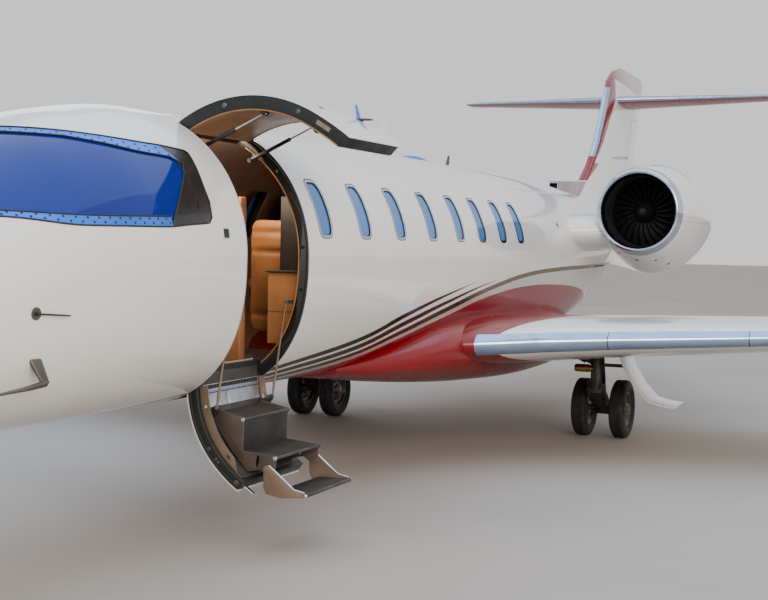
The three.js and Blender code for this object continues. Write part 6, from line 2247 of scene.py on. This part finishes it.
# Station, Y and facing (1 ahead, -1 aft) of the seats
SEATS = {
    "cockpit_seats": ((3.18, 0.362, 1), (3.18, -0.362, 1)),
    "cabin_seats_left": ((5.56, 0.42, -1), (6.9, 0.42, 1), (8.0, 0.42, 1)),
    "cabin_seats_right": ((5.56, -0.42, -1), (6.9, -0.42, 1), (8.0, -0.42, 1)),
}
# A seat's pads: lowest and highest place along its facing, across and above the floor, crown,
# and seam channels
SEAT_PADS = (
    ("seat_cushion", (-0.205, -0.18, 0.2), (0.258, 0.18, 0.368), (0.012, 0.0, 0.03), (("along", 0.03),)),
    ("back_cushion", (-0.328, -0.222, 0.21), (-0.214, 0.222, 0.955), (0.03, 0.0, 0.02),
     (("up", 0.332), ("up", 0.739), ("up", 0.865))),
    ("left_arm_pad", (-0.2, 0.19, 0.44), (0.148, 0.232, 0.518), (0.0, 0.0, 0.012), ()),
    ("right_arm_pad", (-0.2, -0.232, 0.44), (0.148, -0.19, 0.518), (0.0, 0.0, 0.012), ()),
)
CHANNEL_WIDE = 0.015
CHANNEL_DEEP = 0.45


def channel_at(place, channels, way):
    """How much a pad keeps of its thickness at a place, thinner in its seam channels."""
    kept = 1.0
    for direction, centre in channels:
        if direction == way:
            kept -= CHANNEL_DEEP * exp(-(((place - centre) / CHANNEL_WIDE) ** 2))
    return kept


def cushion(name, low, high, crown, channels, put, cells=22):
    """A crowned pad: round edges, sides that pull in between the corners, and sewn channels across it."""
    middle = [(a + b) / 2 for a, b in zip(low, high)]
    half = [(b - a) / 2 for a, b in zip(low, high)]
    points, index, faces = [], {}, []

    def point_at(u, v, w):
        key = (round(u, 5), round(v, 5), round(w, 5))
        if key not in index:
            power = 7.0
            size = (abs(u) ** power + abs(v) ** power + abs(w) ** power) ** (1 / power)
            a, b, c = (q / size for q in (u, v, w))
            pull = 0.035
            a, b, c = (
                a * (1 - pull * (1 - b * b) * abs(a) ** 3 if half[0] > half[2] else 1),
                b * (1 - pull * (1 - c * c) * abs(b) ** 3),
                c * (1 - pull * (1 - b * b) * abs(c) ** 3 if half[2] > half[0] else 1),
            )
            x, y, z = (m + h * q for m, h, q in zip(middle, half, (a, b, c)))
            fall = (1 - b * b)
            if half[2] > half[0]:
                edge = 1 - crown[0] / half[0] * (1 - fall * (1 - c * c) ** 0.5)
                x = middle[0] + (x - middle[0]) * edge * channel_at(z, channels, "up")
            else:
                edge = 1 - crown[2] / half[2] * (1 - fall * (1 - a * a) ** 0.5)
                if z > middle[2]:
                    z = middle[2] + (z - middle[2]) * edge * channel_at(x, channels, "along")
            index[key] = len(points)
            points.append(put(x, y, z))
        return index[key]

    marks = [tan(q * pi / 4) for q in spread(-1.0, 1.0, cells + 1)]
    for axis in range(3):
        for end in (-1.0, 1.0):
            for i in range(cells):
                for j in range(cells):
                    corners = []
                    for p, q in ((i, j), (i + 1, j), (i + 1, j + 1), (i, j + 1)):
                        place = [marks[p], marks[q]]
                        place.insert(axis, end)
                        corners.append(point_at(*place))
                    faces.append(tuple(corners))
    return face_outwards(mesh_piece(name, points, faces))


# Height above the floor and half width of a seat's pedestal
PEDESTAL_ROWS = ((0.022, 0.09), (0.05, 0.1), (0.15, 0.13), (0.186, 0.135))
# Path of an arm rest's frame, along the facing and above the floor
ARM_FRAME = ((-0.2, 0.37), (-0.205, 0.425), (-0.19, 0.436), (0.13, 0.436), (0.143, 0.425), (0.14, 0.37))


def build_seats():
    for node, seats in SEATS.items():
        frames = []
        for number, (station, side_y, facing) in enumerate(seats, 1):
            def put(along, across, up, station=station, side_y=side_y, facing=facing):
                return Vector((NOSE_X - station + facing * along, side_y + across, FLOOR_Z + up))

            for kind, low, high, crown, channels in SEAT_PADS:
                count = 44 if len(channels) > 1 else 22
                pad = cushion(f"{node}_{number}_{kind}", low, high, crown, channels, put, count)
                leather = DARK_LEATHER if node == "cockpit_seats" else LEATHER
                finish(pad, leather, slot="leather")
            lean = 0.05 if abs(side_y) > 0.3 else 0.0
            rings = []
            for up, half in PEDESTAL_ROWS:
                shift = -copysign(lean * (0.186 - up) / 0.164, side_y)
                corners = [(c * half, s * half * 0.9 + shift) for c, s in (
                    (signed_power(cos(t), 0.5), signed_power(sin(t), 0.5))
                    for t in turns(32))]
                rings.append([put(a, b, up) for a, b in corners])
            frames.append(loft("pedestal", rings))
            for across in (-0.21, 0.21):
                path = [put(a, across, b) for a, b in ARM_FRAME]
                frames.append(tube("arm_frame", path, 0.008, 10))
        finish(joined(f"{node}_frames", frames), DARK_TRIM, replaces=(node,))


def build_entry_cabinet():
    """The low cabinet behind the doorway, with a dark sheet standing on it as painted shade for the cabin
    behind.
    """
    front, aft = NOSE_X - 4.95, NOSE_X - 5.18
    inner, top = 0.505, 1.563
    outline = [(inner, 1.12), (inner, top)] + [
        (skin_y(5.06, z) - WALL - 0.012, z) for z in spread(top, 1.12, 10)]
    body = rounded(prism("entry_cabinet", outline, aft, front), 0.008)
    finish(body, CLOSET_LEATHER)
    ledge = [(y, z) for z in (top + 0.001, top + 0.013) for y in (
        (inner - 0.012, skin_y(5.06, top) - WALL - 0.02) if z < top + 0.01 else
        (skin_y(5.06, top) - WALL - 0.02, inner - 0.012))]
    finish(rounded(prism("entry_cabinet_top", ledge, aft - 0.01, front + 0.01), 0.003), DARK_TRIM)
    # A near black sheet above the cabinet: painted shade where the cabin behind the doorway lies dark.
    shade_sheet = [(inner + 0.01, top + 0.014), (inner + 0.01, 2.04)] + [
        (skin_y(5.06, z) - WALL - 0.015, z) for z in spread(2.04, top + 0.014, 10)]
    finish(rounded(prism("entry_shade_sheet", shade_sheet, aft + 0.06, aft + 0.09), 0.004), DARK_TRIM)


def build_interior():
    finish(refined("cabin_floor", "cabin_floor_carpet", 0.004), CARPET, replaces=("cabin_floor",))
    finish(refined("closet", "closet_panels", 0.008), CLOSET_LEATHER, replaces=("closet",))
    panel = refined("instrument_panel", "instrument_panel_shroud", 0.008)
    finish(panel, DARK_TRIM, replaces=("instrument_panel",))
    build_seats()
    build_entry_cabinet()


# Small fittings on the skin


def mound(name, front, aft, half, base, height):
    """A low rounded fairing on the crown."""
    rings = []
    for station in spread(front, aft, 18):
        t = 2 * share_between(station, front, aft) - 1
        swell = sqrt(max(1 - t * t, 0.0004))
        rings.append([
            at_station(station, cos(a) * half * swell, base + sin(a) * height * swell) for a in turns(20)])
    return loft(name, rings, degrees=50)


# Station and height of the static plate's corners, the vane's foot and the pitot mast's foot
STATIC_CORNERS = ((3.826, 1.764), (3.892, 1.764), (3.892, 1.823), (3.826, 1.823))
VANE_FOOT = (2.38, 1.42)
PITOT_FOOT = (2.42, 1.215)
# Y of the wing section that carries the tip lamp
TIP_LAMP_Y = 6.9


def build_crown_antennas():
    tall = blade("crown_blade_antenna", at_station(7.72, 0.0, 2.485), at_station(7.95, 0.0, 2.79),
                 (0.43, 0.16), (0.034, 0.012))
    finish(tall, WHITE_PAINT)
    # The crown fairing is white paint; its blue is a painted sky reflection.
    finish(mound("crown_fairing", 8.25, 8.85, 0.07, 2.497, 0.042), SKY_REFLECTION_BLUE, slot="white_paint")
    small = blade("crown_rear_blade", at_station(9.39, 0.0, 2.49), at_station(9.43, 0.0, 2.60),
                  (0.11, 0.05), (0.014, 0.008))
    finish(small, HOT_METAL)
    finish(mound("crown_flat_antenna", 4.495, 4.74, 0.055, 2.498, 0.026), WHITE_PAINT)


def build_static_plate(name, side):
    around = []
    for (s, z), (next_s, next_z) in zip(STATIC_CORNERS, STATIC_CORNERS[1:] + STATIC_CORNERS[:1]):
        around += [(s + (next_s - s) * t, z + (next_z - z) * t) for t in (0.1, 0.5, 0.9)]
    finish(ribbon(f"static_plate_rim_{name}", around, side, 0.006, -0.002, 0.002), POLISHED)
    columns = []
    for s in spread(3.834, 3.884, 3):
        points = [on_skin(s, z, side) for z in spread(1.77, 1.817, 3)]
        columns.append([(p, body_normal(p)[0]) for p in points])
    finish(patch(f"static_plate_{name}", columns, 0.0012, -0.002), SEAL)


def build_probes(name, side):
    """The angle vane on its round plate, and the pitot boom on its mast."""
    foot = on_skin(*VANE_FOOT, side)
    out = body_normal(foot)[0]
    plate = tube("plate", [foot - out * 0.004, foot + out * 0.003], 0.029, 24)
    hub = tube("hub", [foot, foot + out * 0.016], (0.012, 0.008), 16)
    arm = tube("arm", [foot + out * 0.012, at_station(2.57, side * 0.80, 1.405)], (0.005, 0.004), 10)
    finish(plate, RIM_METAL)
    plate.name = f"angle_vane_plate_{name}"
    finish(joined(f"angle_vane_{name}", [hub, arm]), GEAR_METAL)
    root, end = on_skin(*PITOT_FOOT, side, -0.01), at_station(2.45, side * 0.757, 1.108)
    mast = blade("mast", root, end, (0.085, 0.055), (0.034, 0.024))
    path = [end, at_station(2.34, side * 0.758, 1.098), at_station(2.14, side * 0.757, 1.088)]
    boom = tube("boom", path, (0.015, 0.012, 0.006), 14)
    finish(joined(f"pitot_boom_{name}", [mast, boom]), HOT_METAL, slot="gear_metal")


def build_fittings():
    build_crown_antennas()
    for name, side in SIDES:
        build_static_plate(name, side)
        build_probes(name, side)
    vent = [on_skin(10.42, 1.974, 1, lift) for lift in (-0.01, 0.0015)]
    finish(tube("side_vent", vent, 0.036, 3), SEAL)
    finish(mound("belly_lamp", 5.35, 5.5, 0.05, 0.803, 0.05), RED_LENS)
    row = wing_section(TIP_LAMP_Y)
    for (name, side), lens in zip(SIDES, (RED_LENS, GREEN_LENS)):
        centre = at_station(row[0] + 0.03, side * TIP_LAMP_Y, row[3])
        ends = (centre - Vector((0, side * 0.06, 0.007)), centre + Vector((0, side * 0.06, 0.008)))
        light = blade(f"wing_tip_lamp_{name}", *ends, (0.14, 0.14), (0.05, 0.05))
        finish(light, lens, slot="glass")


# Camera, light and floor
CAMERA_EYE = (11.088, 4.415, 1.751)
CAMERA_RIGHT = Vector((-0.39801518, 0.9171954, 0.01834433))
CAMERA_UP = Vector((-0.03176084, -0.03376152, 0.99892513))
CAMERA_LENS = 61.36
SENSOR_WIDTH = 36.0


def make_camera():
    data = bpy.data.cameras.new("camera")
    data.lens = CAMERA_LENS
    data.sensor_width = SENSOR_WIDTH
    data.clip_end = 400
    camera = bpy.data.objects.new("camera", data)
    back = CAMERA_RIGHT.cross(CAMERA_UP)
    turn = Matrix((CAMERA_RIGHT, CAMERA_UP, back)).transposed()
    camera.matrix_world = Matrix.Translation(CAMERA_EYE) @ turn.to_4x4()
    bpy.context.collection.objects.link(camera)
    bpy.context.scene.camera = camera


def soft_light(name, place, target, size, power, colour):
    data = bpy.data.lights.new(name, "AREA")
    data.shape = "RECTANGLE"
    data.size, data.size_y = size
    data.energy = power
    data.color = colour
    light = bpy.data.objects.new(name, data)
    direction = Vector(target) - Vector(place)
    light.matrix_world = Matrix.Translation(place) @ direction.to_track_quat("-Z", "Y").to_matrix().to_4x4()
    bpy.context.collection.objects.link(light)


# Name, place, target, width and length, watts and colour. cabin_glow stands for the daylight that
# comes in through the windows.
LIGHTS = (
    ("sky_panel", (0, 0, 16), (0, 0, 0), (30, 24), 2400, (0.42, 0.66, 1.0)),
    ("key_panel", (16, 15, 8), (0, 0, 1.4), (14, 9), 2600, (1.0, 0.88, 0.74)),
    ("cabin_glow", (NOSE_X - 4.75, 0.15, 2.3), (NOSE_X - 5.6, 0.2, 1.2), (0.5, 0.5), 14, (1.0, 0.78, 0.56)),
    ("fill_panel", (-10, -16, 8), (0, 0, 1.4), (14, 9), 500, (0.9, 0.95, 1.0)),
)


def make_stage():
    floor = mesh_piece("studio_floor", [(-150, -150, 0), (150, -150, 0), (150, 150, 0), (-150, 150, 0)],
                       [(0, 1, 2, 3)])
    material = mottled("studio_floor", rgb(0.44, 0.40, 0.36), rgb(0.40, 0.365, 0.33), 0.7, 0.85, 0.4)[0]
    floor.data.materials.append(material)
    floor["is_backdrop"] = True
    world = bpy.data.worlds.new("studio")
    world.use_nodes = True
    world.node_tree.nodes["Background"].inputs["Color"].default_value = rgb(0.92, 0.93, 0.95)
    world.node_tree.nodes["Background"].inputs["Strength"].default_value = 1.0
    bpy.context.scene.world = world
    for light in LIGHTS:
        soft_light(*light)


make_camera()
make_stage()
build_fuselage()
build_windshields()
build_cabin_windows()
build_upper_door()
build_lower_door()
build_folding_step()
build_struts_and_stays()
build_door_frame()
build_scuff_plates()
build_wings()
build_tail()
build_fairing()
build_engines()
build_main_gear()
build_nose_gear()
build_interior()
build_fittings()

boxes = {"cad": cad_box, "visual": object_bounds()}
{key: [[float(v) for v in corner] for corner in box] for key, box in boxes.items()}
